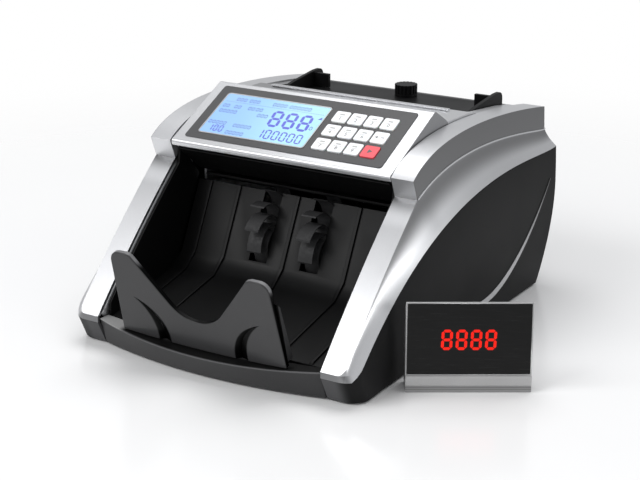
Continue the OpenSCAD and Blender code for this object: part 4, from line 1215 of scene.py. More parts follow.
def frame_grid(d, o):
    """Rows of the silver side frame: rail top, then the concave flare down to its foot."""
    rail_r = d.frame_half - d.corner_x

    def row(top, foot, power):
        line = [(d.rail_in + (top[0] - d.rail_in) * j / ACROSS, top[1], top[2])
                for j in range(ACROSS)]
        for w in steps(DOWN):
            line.append((top[0] + (foot[0] - top[0]) * w**power,
                         top[1] + (foot[1] - top[1]) * w, top[2] + (foot[2] - top[2]) * w))
        return line

    rows = []
    for s in steps(CORNER_STEPS):
        y = d.front_y + rail_r * (1 - math.cos(s * math.pi / 2))
        height = o.rail((y - d.front_y) / RAIL_DEPTH)[1]
        top = (d.corner_x + rail_r * math.sin(s * math.pi / 2), y, height)
        foot = (*corner_point(d, corner_turn(d) * s), d.block_h)
        rows.append(row(top, foot, FLARE_FRONT + (FLARE_RAIL - FLARE_FRONT) * s))
    for t in steps(FRAME_STEPS)[1:]:
        q = CORNER_SHARE + (1 - CORNER_SHARE) * t
        a, b = o.frame(q), o.panel(t)
        past = smooth((q - RAIL_SHARE + FLARE_LEAD) / FLARE_CHANGE)
        power = FLARE_RAIL + (FLARE_RIB - FLARE_RAIL) * past
        rows.append(row((d.frame_half, *a), (o.side_x(b[0]), *b), power))
    return rows


def front_strip(d):
    """Rows of the flat strip under the front end of the rail."""
    return [[(d.rail_in + (d.corner_x - d.rail_in) * j / ACROSS, d.front_y,
              d.rail_foot_z + (d.block_h - d.rail_foot_z) * w) for w in steps(DOWN)]
            for j in range(ACROSS + 1)]


def side_name(sign):
    return "right" if sign > 0 else "left"


def sideways(rings, sign):
    """Rings of points, mirrored for the left side."""
    return [[(sign * x, y, z) for x, y, z in ring] for ring in rings]


def outward_normals(piece, middle):
    """Turns the faces of an open shell so that they look away from a point."""
    work = bmesh.new()
    work.from_mesh(piece.data)
    bmesh.ops.recalc_face_normals(work, faces=work.faces)
    away = sum(f.normal.dot(f.calc_center_median() - middle) * f.calc_area() for f in work.faces)
    if away < 0:
        bmesh.ops.reverse_faces(work, faces=work.faces)
    work.to_mesh(piece.data)
    work.free()


# A point inside the machine, in metres
INSIDE = Vector((0, 0, 60 * MM))


def side_frame(d, o, sign, material):
    """One silver side frame: its thick shell, the rib on top, the cheek and the bead."""
    name = "side_frame_" + side_name(sign)
    return [frame_shell(d, o, sign, name, material), frame_rib(d, o, sign, name + "_rib"),
            rail_cheek(d, o, sign, name + "_cheek", material),
            groove_bead(d, o, sign, name + "_bead")]


def frame_shell(d, o, sign, name, material):
    """Rail and flare as one thick shell, closed in front by a strip and at the back."""
    grid = frame_grid(d, o)
    inner = d.rail_in + 1
    back = [[(inner + (p[0] - inner) * u, p[1], p[2]) for p in grid[-1][ACROSS:]]
            for u in steps(4)]
    points, faces = [], []
    for rows in (grid, front_strip(d), back):
        start = len(points)
        points += [p for row in sideways(rows, sign) for p in row]
        faces += [tuple(start + k for k in f) for f in strip_faces(len(rows), len(rows[0]))]
    shell = new_object(name, points, faces, material)
    outward_normals(shell, INSIDE)
    thickened(shell, d.wall)
    return rounded(shell, d.round, d.round_steps, PANEL_CREASE)


def frame_rib(d, o, sign, name):
    """Raised rib that runs from the console to the back."""
    rings = []
    for t in steps(RIB_STEPS):
        top, (y, z) = o.rib(t), o.groove(t)
        rings.append([(d.rail_in, y, z - RIB_SUNK), (d.rail_in, *top), (d.frame_half, *top),
                      (d.frame_half, y, z - RIB_SUNK)])
    rib = loft_object(name, sideways(rings, sign), made("rib_paint", rib_paint))
    return rounded(rib, d.round * 1.1, d.round_steps, PANEL_CREASE)


def rail_cheek(d, o, sign, name, material):
    """Inner side of the rail, towards the pocket."""
    thick, back, down = 2, 9, 10
    inner, outer = d.rail_in, d.rail_in + thick
    rings = []
    for t in steps(CHEEK_STEPS)[1:]:
        y, z = o.rail(t)
        rings.append([(inner, y, z - 1), (outer, y, z - 1), (outer, y + back, z - down),
                      (inner, y + back, z - down)])
    return loft_object(name, sideways(rings, sign), material)


def groove_bead(d, o, sign, name):
    """Thin bead along the groove between the rib and the flare."""
    rings = [[(d.frame_half + x, y, z + up) for x, up in BEAD]
             for y, z in (o.groove(t) for t in steps(RIB_STEPS))]
    bead = loft_object(name, sideways(rings, sign), made("silver_paint", silver_paint))
    return rounded(bead, 0.2, 2, PANEL_CREASE)


def side_panel(d, o, sign, material):
    """One black side panel that runs round the front corner as the foot block."""
    def column(x, y, top):
        line = []
        for v in steps(PANEL_LEVELS):
            z = FLOOR_GAP + (top - PIECE_GAP - FLOOR_GAP) * v
            shift = lean_shift(d, y, z) + tuck_shift(d, y, z)
            line.append((x + bulge(d, y, v), y + shift, z))
        return line

    start_x = d.rail_in + PIECE_GAP
    rows = [column(start_x + (d.corner_x - start_x) * s, d.front_y, d.block_h)
            for s in steps(BLOCK_STEPS)]
    for s in steps(TURN_STEPS)[1:-1]:
        rows.append(column(*corner_point(d, corner_turn(d) * s), d.block_h))
    for t in steps(PANEL_STEPS):
        y, z = o.panel(t)
        rows.append(column(o.side_x(y), y, z))
    rows.append([(d.rail_in + 2, y, z) for x, y, z in rows[-1]])
    shell = grid_object("side_panel_" + side_name(sign) + "_skin", sideways(rows, sign), material)
    outward_normals(shell, INSIDE)
    thickened(shell, d.wall)
    return rounded(shell, d.round * 0.7, d.round_steps, PANEL_CREASE)


# The crescent's points from the back edge of the machine, as (y, z), its half width at the
# thin end, how much wider it gets, how far its edge slants, how far it stands off, and its steps
CRESCENT = ((-11, 84.0), (-82, 3.0), (-141, 18.0))
CRESCENT_THIN, CRESCENT_GROWTH, CRESCENT_SLANT = 0.3, 4.0, 0.6
CRESCENT_IN, CRESCENT_OUT, CRESCENT_STEPS = 0.02, 0.5, 60


def side_stripe(d, o, sign, material):
    """Thin crescent that lies on the curved side panel."""
    edge = [o.panel(t) for t in steps(CRESCENT_STEPS)]

    def panel_top(y):
        for (y0, z0), (y1, z1) in zip(edge, edge[1:]):
            if y0 <= y <= y1:
                return z0 + (z1 - z0) * (y - y0) / (y1 - y0)
        return edge[-1][1]

    def face_x(y, z):
        v = (z - FLOOR_GAP) / (panel_top(y) - FLOOR_GAP)
        return d.side_half + bulge(d, y, v)

    top, middle, foot = ((d.back_y + y, z) for y, z in CRESCENT)
    rings = []
    for t in steps(CRESCENT_STEPS):
        y, z = curve2(top, middle, foot, t)
        half = CRESCENT_THIN + CRESCENT_GROWTH * t
        slant = half * CRESCENT_SLANT
        a, b = (y - half, z + slant), (y + half, z - slant)
        xa, xb = face_x(*a), face_x(*b)
        rings.append([(xa + CRESCENT_IN, *a), (xa + CRESCENT_OUT, *a), (xb + CRESCENT_OUT, *b),
                      (xb + CRESCENT_IN, *b)])
    crescent = loft_object("side_stripe_" + side_name(sign), sideways(rings, sign), material)
    return rounded(crescent, 0.15, 2, CORNER_CREASE)


# ---------------------------------------------------------------- pieces of the console


# Boxes on the console face, as (x0, s0, x1, s1) with s up the slope, and the film's layer as low
# and high above the face
WINDOW = (-76.0, 12.5, 15.5, 59.0)
OVERLAY = (-84.0, 6.3, 82.0, 66.5)
FILM_LAYER = (0.05, 0.55)
KEY_NAMES = [["1", "2", "3", "0"], ["4", "5", "6", "batch"], ["7", "8", "9", "start"]]
KEY_CELLS = [(col, row) for row in range(3) for col in range(4)]
FIRST_KEY = (27.0, 50.1)
KEY_PITCH = (13.2, 15.2)
KEY_TOP, KEY_FLANGE, KEY_GAP = 1.5, 0.7, 0.3
# Radii of the corners of a key, its flange and its opening in the shell and in the film
KEY_CORNER, FLANGE_CORNER, OPENING_CORNER = 1.5, 1.9, 1.7
FLANGE_EDGE = 0.7
KEY_DEPTH = 1.7
# Printed marks are this thick and start this far inside the surface
INK, INK_SUNK = 0.05, 0.01


def console_place(d):
    """Plane of the console face: x across, s up the slope, z out of the face."""
    return Matrix.Translation((0, d.console_y * MM, d.console_z * MM)) @ \
        Matrix.Rotation(d.slope, 4, "X")


def key_centre(col, row):
    return FIRST_KEY[0] + col * KEY_PITCH[0], FIRST_KEY[1] - row * KEY_PITCH[1]


def key_square(col, row, side, radius):
    x, s = key_centre(col, row)
    return soft_rectangle(x - side / 2, s - side / 2, x + side / 2, s + side / 2, radius)


def key_openings(d, radius):
    return [key_square(col, row, d.key + 2 * KEY_GAP, radius) for col, row in KEY_CELLS]


# Section of the housing: its lip under the front edge and its back behind the crest, as offsets
# in (y, z), the height of the back's foot, and the radii of its corners from the lip round
SHELL_GAP = 0.7
SHELL_LIP, SHELL_BACK, SHELL_FOOT = (1.4, -4.2), (18.1, -10.6), 4.0
SHELL_ROUNDS = [0.6, 2.2, 4.0, 2.0, 0.0]


def console_shell(d, material):
    """Silver housing: rounded lip in front, rounded crest at the top, hollow inside."""
    half = d.rail_in - SHELL_GAP
    lip = (d.console_y + SHELL_LIP[0], d.console_z + SHELL_LIP[1])
    front = (d.console_y, d.console_z)
    top = (d.apex_y, d.body_h)
    back = (d.apex_y + SHELL_BACK[0], d.body_h + SHELL_BACK[1])
    foot = (back[0], back[1] - SHELL_FOOT)
    section = round_corners([lip, front, top, back, foot], SHELL_ROUNDS)
    shell = blocks_object("console_shell", [(section, -half, half)], material, ALONG_X)
    broken(shell, 1.1, d.round_steps + 1, CORNER_CREASE)
    w = d.wall
    slope = math.tan(d.slope)
    drop = w / math.cos(d.slope)
    inside = [(lip[0] + w + 0.6, lip[1] - 2), (front[0] + w, front[1] + w * slope - drop),
              (top[0] - 0.4, top[1] - drop - 0.4 * slope), (back[0] - w, back[1] - 1.2),
              (back[0] - w, foot[1] - 2)]
    carved(shell, blocks_object("hollow", [(inside, -half + w, half - w)], material, ALONG_X))
    outlines = [*key_openings(d, KEY_CORNER), rectangle(*inset(WINDOW, 2))]
    holes = [(outline, -w - 2, 2.0) for outline in outlines]
    carved(shell, blocks_object("holes", holes, material, console_place(d)))
    return smoothed(shell)


def build_console():
    d = sizes()
    place = console_place(d)
    settle(console_shell(d, made("console_paint", console_paint)), ROOT, "silver_paint",
           "console_housing")
    outlines = [soft_rectangle(*OVERLAY, 2.2), *key_openings(d, OPENING_CORNER),
                soft_rectangle(*inset(WINDOW, -0.2), 2.6)]
    film = plate_object("keypad_film", outlines, *FILM_LAYER, 0.12,
                        made("keypad_film", keypad_film), place)
    settle(film, ROOT, "overlay_film", "keypad_overlay")
    build_display(place)
    for col, row in KEY_CELLS:
        build_key(d, col, row, place)


def build_key(d, col, row, place):
    """A key: its cap on a flange, and the ink of its digit or sign."""
    label = KEY_NAMES[row][col]
    name = "key_" + label
    body = "body_" + name
    red = label == "start"
    slot = "key_red" if red else "key_white"
    bottom = -(d.wall + KEY_DEPTH)
    blocks = [(key_square(col, row, d.key, KEY_CORNER), bottom + KEY_FLANGE * 0.5, KEY_TOP),
              (key_square(col, row, d.key + 2 * FLANGE_EDGE, FLANGE_CORNER), bottom,
               bottom + KEY_FLANGE)]
    material = made("red_key", red_key) if red else made("white_key", white_key)
    cap = blocks_object(name + "_cap", blocks, material, place)
    rounded(cap, 0.45, 3, CORNER_CREASE)
    settle(cap, body, slot, name)
    centre = key_centre(col, row)
    ink = made("key_ink", key_ink)
    if label.isdigit():
        middle = (centre[0], centre[1] - DIGIT_DROP)
        mark = text_object(name + "_digit", label, DIGIT_HEIGHT, KEY_TOP - INK_SUNK, INK, ink,
                           place, middle)
        bars = key_mark(name + "_bar", DIGIT_BARS, None, centre, made("pale_ink", pale_ink), place)
        settle(bars, body, slot)
    else:
        mark = key_mark(name + "_mark", *WORD_MARKS[label], centre, ink, place)
    settle(mark, body, slot)


# Height of a key's digit and how far it sits below the middle of the key
DIGIT_HEIGHT, DIGIT_DROP = 3.1, 2.2
# Shapes round the middle of a key: the two bars above a digit, and the signs that stand for
# words, each with a bar that crosses the others or none
DIGIT_BARS = [rectangle(-3.2, 0.1, 3.2, 0.45), rectangle(-1.9, 1.7, 1.9, 2.9)]
WORD_MARKS = {
    "batch": ([rectangle(-3.6, -0.3, -1.2, 0.3), rectangle(1.2, -0.3, 3.6, 0.3)],
              rectangle(-2.7, -1.2, -2.1, 1.2)),
    "start": ([[(-1.5, -2.0), (2.0, 0.0), (-1.5, 2.0)]], None),
}


def key_mark(name, outlines, crossing, centre, ink, place):
    """Flat printed shapes on a key; one that crosses the others stands a little higher."""
    low, high = KEY_TOP - INK_SUNK, KEY_TOP + INK
    blocks = [(outline, low, high) for outline in outlines]
    if crossing:
        blocks.insert(1, (crossing, low, high + INK_SUNK))
    moved = [([(centre[0] + x, centre[1] + s) for x, s in outline], *levels)
             for outline, *levels in blocks]
    return flat(blocks_object(name, moved, ink, place))


# The display's layers, as low and high above the console face, and their insets in the window
LIGHT_LAYER, RIM_LAYER, COVER_LAYER = (0.05, 0.66), (0.05, 1.0), (0.78, 0.95)
LIGHT_IN, RIM_IN, COVER_IN = 0.9, 0.95, 0.97
INK_LOW = LIGHT_LAYER[1]
# Rows of digits, as name, text, (x, s, width, height) and stroke
DIGIT_ROWS = (
    ("display_count", "888", (-26.8, 29.2, 34.4, 17.8), 2.4),
    ("display_batch", "100", (-70.1, 15.6, 12.8, 7.4), 1.05),
    ("display_total", "100000", (-28.4, 15.9, 38.2, 10.0), 1.15))
# Where the display has a short label, as (x, s, number of characters)
LABEL_PLACES = [
    (-65.1, 53.1, 3), (-53.6, 53.1, 3), (-32.9, 53.1, 4), (-18.4, 53.1, 6), (-72.6, 44.8, 2),
    (-62.4, 44.8, 2), (-50.2, 45.0, 2), (-43.2, 45.0, 2), (-72.3, 38.8, 5), (-38.8, 39.1, 3),
    (-73.6, 25.6, 5), (-51.5, 24.9, 5), (-53.6, 16.8, 5), (9.0, 33.9, 1)]
LETTER_PITCH, LETTER_GAP, LETTER_HEIGHT, LETTER_STROKE = 3.2, 0.7, 3.8, 0.65
# Sideways shift of the digits and the letters for each unit of height
DIGIT_SLANT, LETTER_SLANT = -0.1, -0.05
# The dashed line under the top row, and the small triangle beside the count
DASH_START, DASH_PITCH, DASH_COUNT, DASH_LENGTH = -72.5, 2.0, 43, 1.2
DASH_LOW, DASH_TOP = 49.5, 49.8
TRIANGLE = [(10.4, 44.2), (14.0, 44.2), (12.8, 46.9)]


def build_display(place):
    """Lit layer, its digits and marks, a clear cover and a thin silver rim."""
    light = (soft_rectangle(*inset(WINDOW, LIGHT_IN), 1.7), *LIGHT_LAYER)
    lit = blocks_object("display_light", [light], made("display_light", display_light), place)
    settle(flat(lit), ROOT, "lcd_glass", "display_window")
    outlines = [soft_rectangle(*WINDOW, 2.5), soft_rectangle(*inset(WINDOW, RIM_IN), 1.6)]
    rim = plate_object("display_rim", outlines, *RIM_LAYER, 0.2,
                       made("stripe_paint", stripe_paint), place)
    settle(rim, ROOT, "stripe_silver")
    outline = soft_rectangle(*inset(WINDOW, COVER_IN), 1.6)
    cover = plate_object("display_cover", [outline], *COVER_LAYER, 0.03,
                         made("clear_cover", clear_cover), place)
    settle(cover, ROOT, "lcd_glass")
    ink = made("display_ink", display_ink)
    for name, text, box, stroke in DIGIT_ROWS:
        row = segment_digits(name, text, box, stroke, DIGIT_SLANT, INK_LOW, INK, ink, place)
        settle(row, ROOT, "lcd_glass")
    small = made("small_ink", small_ink)
    for k, (x, s, count) in enumerate(LABEL_PLACES):
        box = (x, s - LETTER_HEIGHT / 2, LETTER_PITCH * count - LETTER_GAP, LETTER_HEIGHT)
        label = segment_digits(f"display_label_{k}", "0" * count, box, LETTER_STROKE,
                               LETTER_SLANT, INK_LOW, INK, small, place)
        settle(label, ROOT, "lcd_glass")
    starts = [DASH_START + DASH_PITCH * k for k in range(DASH_COUNT)]
    outlines = [rectangle(x, DASH_LOW, x + DASH_LENGTH, DASH_TOP) for x in starts] + [TRIANGLE]
    blocks = [(outline, INK_LOW, INK_LOW + INK) for outline in outlines]
    dashes = blocks_object("display_dashes", blocks, small, place)
    settle(flat(dashes), ROOT, "lcd_glass")


# ---------------------------------------------------------------- pieces of the body


def build_sides():
    d = sizes()
    o = Outline(d)
    silver = made("frame_paint", frame_paint)
    panel = made("panel_plastic", panel_plastic)
    stripe = made("crescent_paint", crescent_paint)
    for sign in (1, -1):
        for piece in side_frame(d, o, sign, silver):
            settle(piece, ROOT, "silver_paint", "side_shell_" + side_name(sign))
        settle(side_panel(d, o, sign, panel), ROOT, "black_panel", "side_panel_" + side_name(sign))
        settle(side_stripe(d, o, sign, stripe), ROOT, "stripe_silver", "side_stripes")
    settle(fascia(d), ROOT, "dark_grey_plastic", "front_fascia")


# The ledge of the fascia: its edge is set back and dropped at the ends, and bows forwards and
# down in the middle; its foot bows too. Last are the steps across.
LEDGE_SET, LEDGE_BOW = 1.8, 13.5
LEDGE_DROP, LEDGE_SAG = 1.6, 4.5
FOOT_SET, FOOT_BOW = 8.0, 12.5
LEDGE_DEPTH, LEDGE_THICK, FASCIA_STEPS = 11.0, 2.0, 72


def ledge_bow(d, x):
    """Share of the bow at x, from nothing at the ends to one in the middle."""
    return 1 - (x / d.pocket_half) ** 2


def ledge_z(d, x):
    return d.rail_foot_z - LEDGE_DROP - LEDGE_SAG * ledge_bow(d, x)


def fascia(d):
    """Bowed front with its ledge, under the pocket."""
    back_y = d.front_y + LEDGE_DEPTH

    def section(x):
        bow = ledge_bow(d, x)
        top_z = ledge_z(d, x)
        low_z = top_z - LEDGE_THICK
        foot_y = d.front_y + FOOT_SET - FOOT_BOW * bow
        top_y = d.front_y + LEDGE_SET - LEDGE_BOW * bow
        return [(x, foot_y, FLOOR_GAP), (x, top_y, top_z), (x, back_y, top_z), (x, back_y, low_z),
                (x, top_y + d.wall, low_z), (x, foot_y + d.wall, FLOOR_GAP)]

    rings = [section(d.pocket_half * (2 * s - 1)) for s in steps(FASCIA_STEPS)]
    piece = loft_object("fascia_skin", rings, made("front_plastic", front_plastic))
    return rounded(piece, d.round * 1.3, d.round_steps, PANEL_CREASE)


# ---------------------------------------------------------------- gate


GATE_LEAN = math.radians(15)
# Length along the leaning gate for each unit of height
GATE_UP = 1 / math.cos(GATE_LEAN)
GATE_HALF, GATE_THICK, GATE_SET = 68.0, 4.0, 2.4
HORN_RADIUS, HORN_IN = 8.0, 3.0
VALLEY_LOW, VALLEY_RADIUS, VALLEY_TOP = 40.0, 27.0, 49.0
# Feet of a recess, the points that bend its two edges and its tip, as (x, height)
RECESS_FEET = (26, 38)
RECESS_BENDS = ((25, 42), (36.5, 36))
RECESS_TIP = (53, 50)
RECESS_DEEP, RECESS_SHALLOW = 2.9, 0.2


def gate_foot_y(d):
    """Where the plane of the gate's front meets the floor."""
    return d.front_y - GATE_SET + d.rail_foot_z * math.tan(GATE_LEAN)


def gate_place(d):
    """Plane of the gate's front: x across, y up the gate, z out of it."""
    return Matrix.Translation((0, gate_foot_y(d) * MM, 0)) @ \
        Matrix.Rotation(math.pi / 2 + GATE_LEAN, 4, "X")


def gate_foot(d, x):
    """Point of the gate's foot, which follows the ledge."""
    return (x, (ledge_z(d, x) + 0.5) * GATE_UP)


def gate_outline(d):
    """Outline of the gate: foot along the ledge, two horns and a round valley."""
    top = d.gate_h * GATE_UP
    foot = [gate_foot(d, GATE_HALF * (2 * s - 1)) for s in steps(32)]
    # Right horn: up its outer edge, round its tip, then down the straight side of the valley
    centre = (GATE_HALF - HORN_IN - HORN_RADIUS, top - HORN_RADIUS)
    start = -math.atan2(HORN_IN, top - 30)
    horn = arc(centre, HORN_RADIUS, start, math.pi / 2, 10)
    horn += [(VALLEY_TOP + 2.0, top), (VALLEY_TOP - 1.6, top - 1.2)]
    bowl = (0.0, VALLEY_LOW * GATE_UP + VALLEY_RADIUS)
    touch = tangent_point(bowl, VALLEY_RADIUS, (VALLEY_TOP, top))
    start = math.atan2(touch[1] - bowl[1], touch[0] - bowl[0])
    valley = arc(bowl, VALLEY_RADIUS, start, -math.pi - start, 28)
    return foot + horn + valley + [(-x, y) for x, y in reversed(horn)]


def gate_recess(d, sign):
    """Rings of the curved groove in one half of the gate, which runs out towards its tip."""
    dark = 0.45 if sign > 0 else 0.55

    def ring(outer, inner, deep):
        floor = [a + (b - a) * dark for a, b in zip(outer, inner)]
        return [(sign * outer[0], outer[1], 3.0), (sign * inner[0], inner[1], 3.0),
                (sign * inner[0], inner[1], 0.0), (sign * floor[0], floor[1], -deep),
                (sign * outer[0], outer[1], 0.0)]

    feet = [gate_foot(d, x) for x in RECESS_FEET]
    bends = [(x, y * GATE_UP) for x, y in RECESS_BENDS]
    tip = (RECESS_TIP[0], RECESS_TIP[1] * GATE_UP)
    rings = [ring(*((x, 0) for x in RECESS_FEET), RECESS_DEEP + RECESS_SHALLOW)]
    for share in steps(25):
        t = share * 0.97
        outer, inner = (curve2(foot, bend, tip, t) for foot, bend in zip(feet, bends))
        rings.append(ring(outer, inner, RECESS_SHALLOW + RECESS_DEEP * (1 - t) ** 0.7))
    return rings


def build_gate():
    d = sizes()
    place = gate_place(d)
    material = made("gate_plastic", gate_plastic)
    plate = blocks_object("gate_plate", [(gate_outline(d), -GATE_THICK, 0.0)], material)
    broken(plate, 0.9, 4, CORNER_CREASE)
    for sign in (1, -1):
        carved(plate, loft_object("recess", gate_recess(d, sign), material))
    broken(plate, 0.3, 2, 60)
    plate.data.transform(place)
    settle(smoothed(plate), ROOT, "gate_plastic", "stacker_gate")
    settle(gate_flanges(d, place, material), ROOT, "gate_plastic")


# The two flanges behind the gate: their thickness, how far in they start, their depth at the
# foot and at the top, and how far below the horns their front and back edges end
FLANGE_THICK, FLANGE_IN = 3.0, 3.6
FLANGE_FOOT_DEPTH, FLANGE_TOP_DEPTH, FLANGE_SUNK = 6.0, 2.0, 1.0
FLANGE_FRONT_END, FLANGE_BACK_END = 16.0, 20.0


def gate_flanges(d, place, material):
    """Flanges that stiffen the gate behind its two ends."""
    low = gate_foot(d, d.pocket_half)[1] + 0.9
    top = d.gate_h * GATE_UP
    front = FLANGE_SUNK - GATE_THICK
    outline = [(low, -GATE_THICK - FLANGE_FOOT_DEPTH), (low, front),
               (top - FLANGE_FRONT_END, front),
               (top - FLANGE_BACK_END, -GATE_THICK - FLANGE_TOP_DEPTH)]
    start = GATE_HALF - FLANGE_IN
    blocks = [(outline, start, start + FLANGE_THICK), (outline, -start - FLANGE_THICK, -start)]
    flanges = blocks_object("gate_flanges", blocks, material, ALONG_X)
    flanges.data.transform(place)
    return rounded(flanges, 0.5, 2, CORNER_CREASE)


# ---------------------------------------------------------------- separate display


CASE = SimpleNamespace(
    width=84.0, height=63.0, depth=19.0, strip_low=4.6, strip_top=12.0, lean=math.radians(3),
    ledge=1.2, rim=0.9)
# Where the case stands, from the side panel and from the front, and how far it is turned
CASE_OFFSET = (13.2, 45.1)
CASE_TURN = math.radians(32)
# Its lit digits: text, (x, y, width, height), stroke, slant, level and thickness
CASE_DIGITS = ("8888", (23.4, 17.6, 36.6, 14.2), 1.95, 0.04, 0.0, 0.02)
# Planes of the display's face: x across and y up, with z into the case or out of it
STANDING = Matrix(((1, 0, 0, 0), (0, 0, 1, 0), (0, 1, 0, 0), (0, 0, 0, 1)))
STANDING_FRONT = Matrix(((1, 0, 0, 0), (0, 0, -1, -0.00024), (0, 1, 0, 0), (0, 0, 0, 1)))


def build_customer_display():
    d = sizes()
    c = CASE
    place = Matrix.Translation(((d.side_half + CASE_OFFSET[0]) * MM,
                                (d.front_y + CASE_OFFSET[1]) * MM, 0)) @ \
        Matrix.Rotation(CASE_TURN, 4, "Z")
    rim_y = c.ledge + (c.height - c.strip_top) * math.tan(c.lean)
    profile = round_corners(
        [(1, 0), (1, c.strip_low), (0, c.strip_low + 0.6), (0, c.strip_top),
         (c.ledge, c.strip_top + 0.5), (rim_y, c.height), (rim_y + c.rim, c.height),
         (c.ledge + 12, c.height - 6), (c.depth, 0)],
        [0, 0, 0.3, 0.3, 0, 0, 0, 1.5, 0.5])
    silver = made("case_paint", case_paint)
    case = blocks_object("customer_case", [(profile, 0, c.width)], silver, ALONG_X)
    broken(case, 0.45, 3, CORNER_CREASE)
    face = Matrix.Translation((0, c.ledge * MM, (c.strip_top + 0.5) * MM)) @ \
        Matrix.Rotation(-c.lean, 4, "X")
    tall = (c.height - c.rim - c.strip_top - 0.9) / math.cos(c.lean)
    opening = rectangle(c.rim, 0.4, c.width - c.rim, 0.4 + tall)
    carved(case, blocks_object("recess", [(opening, -2, 1.4)], silver, face @ STANDING))
    case.data.transform(place)
    settle(smoothed(case), "customer_display", "case_silver", "external_display_case")
    outline = soft_rectangle(c.rim + 0.1, 0.5, c.width - c.rim - 0.1, 0.3 + tall, 0.8)
    window = plate_object("customer_window", [outline], -0.2, 1.3, 0.25,
                          made("dark_window", dark_window), place @ face @ STANDING)
    settle(window, "customer_display", "black_acrylic", "external_display_face")
    digits = segment_digits("customer_digits", *CASE_DIGITS, made("lit_digits", lit_digits),
                            place @ face @ STANDING_FRONT)
    settle(digits, "customer_display", "black_acrylic")


# ---------------------------------------------------------------- carried pieces


# Finish, its slot, how it is made, the radius of its edges in millimetres, and its CAD nodes
CARRIED = {
    "powder_coat": ("black_pan", powder_coat, 0.35, ("base_pan", "rear_panel")),
    "foot_rubber": ("foot_rubber", foot_rubber, 0.4, ("rubber_feet",)),
    "pocket_plastic": ("pocket_black", pocket_plastic, 0.4, (
        "stacker_deck", "pocket_wall_left", "pocket_wall_right", "transport_guides",
        "hopper_tray")),
    "guide_plastic": ("guide_black", pocket_plastic, 0.4, (
        "note_guide_left", "note_guide_right", "gap_knob")),
    "dark_plastic": ("dark_grey_plastic", dark_plastic, 0.6, ("rear_cover",)),
    "lip_paint": ("lip_silver", lip_paint, 0.35, ("hopper_lip",)),
    "socket_plastic": ("socket_black", gloss_black, 0.25, ("power_inlet", "display_socket")),
    "switch_red": ("switch_red", switch_red, 0.5, ("power_switch",)),
    "handle_plastic": ("handle_black", foot_rubber, 0.3, ("carry_handle",)),
    "plate_steel": ("plate_steel", plated_sheet, 0.2, ("frame_left", "frame_right")),
    "rod_steel": ("rod_steel", turned_steel, 0.25, (
        "tie_rods", "pickup_shaft", "feed_shaft", "stacker_shaft", "motor_pulley")),
    "pickup_rubber": ("pickup_rubber", pickup_rubber, 0.4, ("pickup_rollers",)),
    "feed_rubber": ("feed_rubber", tyre_rubber, 0.4, ("feed_rollers",)),
    "fan_rubber": ("fan_rubber", tyre_rubber, 0.2, ("stacker_wheels",)),
    "pinch_alloy": ("pinch_alloy", roller_alloy, 0.3, ("pinch_rollers",)),
    "motor_steel": ("motor_steel", motor_can, 0.4, ("drive_motor",)),
    "belt_rubber": ("belt_rubber", tyre_rubber, 0.15, ("drive_belts",)),
    "bush_brass": ("bearing_brass", bush_brass, 0.15, ("bearings",)),
    "solder_mask": ("green_board", solder_mask, 0.15, ("console_board", "main_board")),
    "paper_board": ("supply_board", paper_board, 0.15, ("power_supply",)),
    "screw_steel": ("screw_steel", turned_steel, 0.12, ("cover_screws",)),
    "display_back": ("lcd_module", gloss_black, 0.2, ("display_module",)),
}


def shade_nodes():
    """Small node group that shades curved runs smooth and keeps corners crisp."""
    group = bpy.data.node_groups.new("SmoothRuns", "GeometryNodeTree")
    group.interface.new_socket("Geometry", in_out="INPUT", socket_type="NodeSocketGeometry")
    group.interface.new_socket("Geometry", in_out="OUTPUT", socket_type="NodeSocketGeometry")
    nodes, links = group.nodes, group.links
    start, end = nodes.new("NodeGroupInput"), nodes.new("NodeGroupOutput")
    faces = nodes.new("GeometryNodeSetShadeSmooth")
    edges = nodes.new("GeometryNodeSetShadeSmooth")
    edges.domain = "EDGE"
    angle = nodes.new("GeometryNodeInputMeshEdgeAngle")
    less = nodes.new("FunctionNodeCompare")
    less.operation = "LESS_THAN"
    less.inputs[1].default_value = math.radians(SMOOTH_LIMIT)
    links.new(start.outputs[0], faces.inputs[0])
    links.new(faces.outputs[0], edges.inputs[0])
    links.new(angle.outputs[0], less.inputs[0])
    links.new(less.outputs[0], edges.inputs[2])
    links.new(edges.outputs[0], end.inputs[0])
    return group


def build_carried():
    """Finishes for the pieces whose shape comes from the frame."""
    group = shade_nodes()
    for name, (slot, build, radius, nodes) in CARRIED.items():
        material = made(name, build)
        for node in nodes:
            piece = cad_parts[node]
            piece.data.materials.clear()
            piece.data.materials.append(material)
            piece.data.polygons.foreach_set("material_index", [0] * len(piece.data.polygons))
            add_modifier(piece, "WELD", merge_threshold=JOIN_DISTANCE)
            add_bevel(piece, radius, 2, CREASE, use_clamp_overlap=True)
            add_modifier(piece, "NODES", node_group=group)
            even_normals(piece)


# ---------------------------------------------------------------- stage


# Each light: name, place and target in metres, size in metres and power in watts
LIGHTS = (
    ("key_light", (-0.9, -1.5, 1.6), (0, 0, 0.08), (1.3, 1.0), 26),
    ("top_light", (-0.1, 0.5, 1.7), (0, 0, 0.1), (1.6, 1.2), 17),
    ("flank_light", (1.7, 0.45, 0.22), (0.1, -0.06, 0.06), (0.9, 0.35), 8),
    ("front_light", (0.1, -1.9, 0.35), (0, 0, 0.08), (1.4, 0.5), 5),
)
FLOOR_HALF, FLOOR_SUNK = 3000, 0.02
CAMERA_PLACE = (0.58410, -0.93738, 0.42540)
CAMERA_TARGET = (0, 0, 0.05442)
CAMERA_LENS, CAMERA_SENSOR = 87.37, 36


def aimed(name, data, place, target):
    """A light or a camera at a place, looking at a target."""
    piece = shown(name, data)
    piece.location = place
    piece.rotation_euler = (Vector(target) - Vector(place)).to_track_quat("-Z", "Y").to_euler()
    return piece


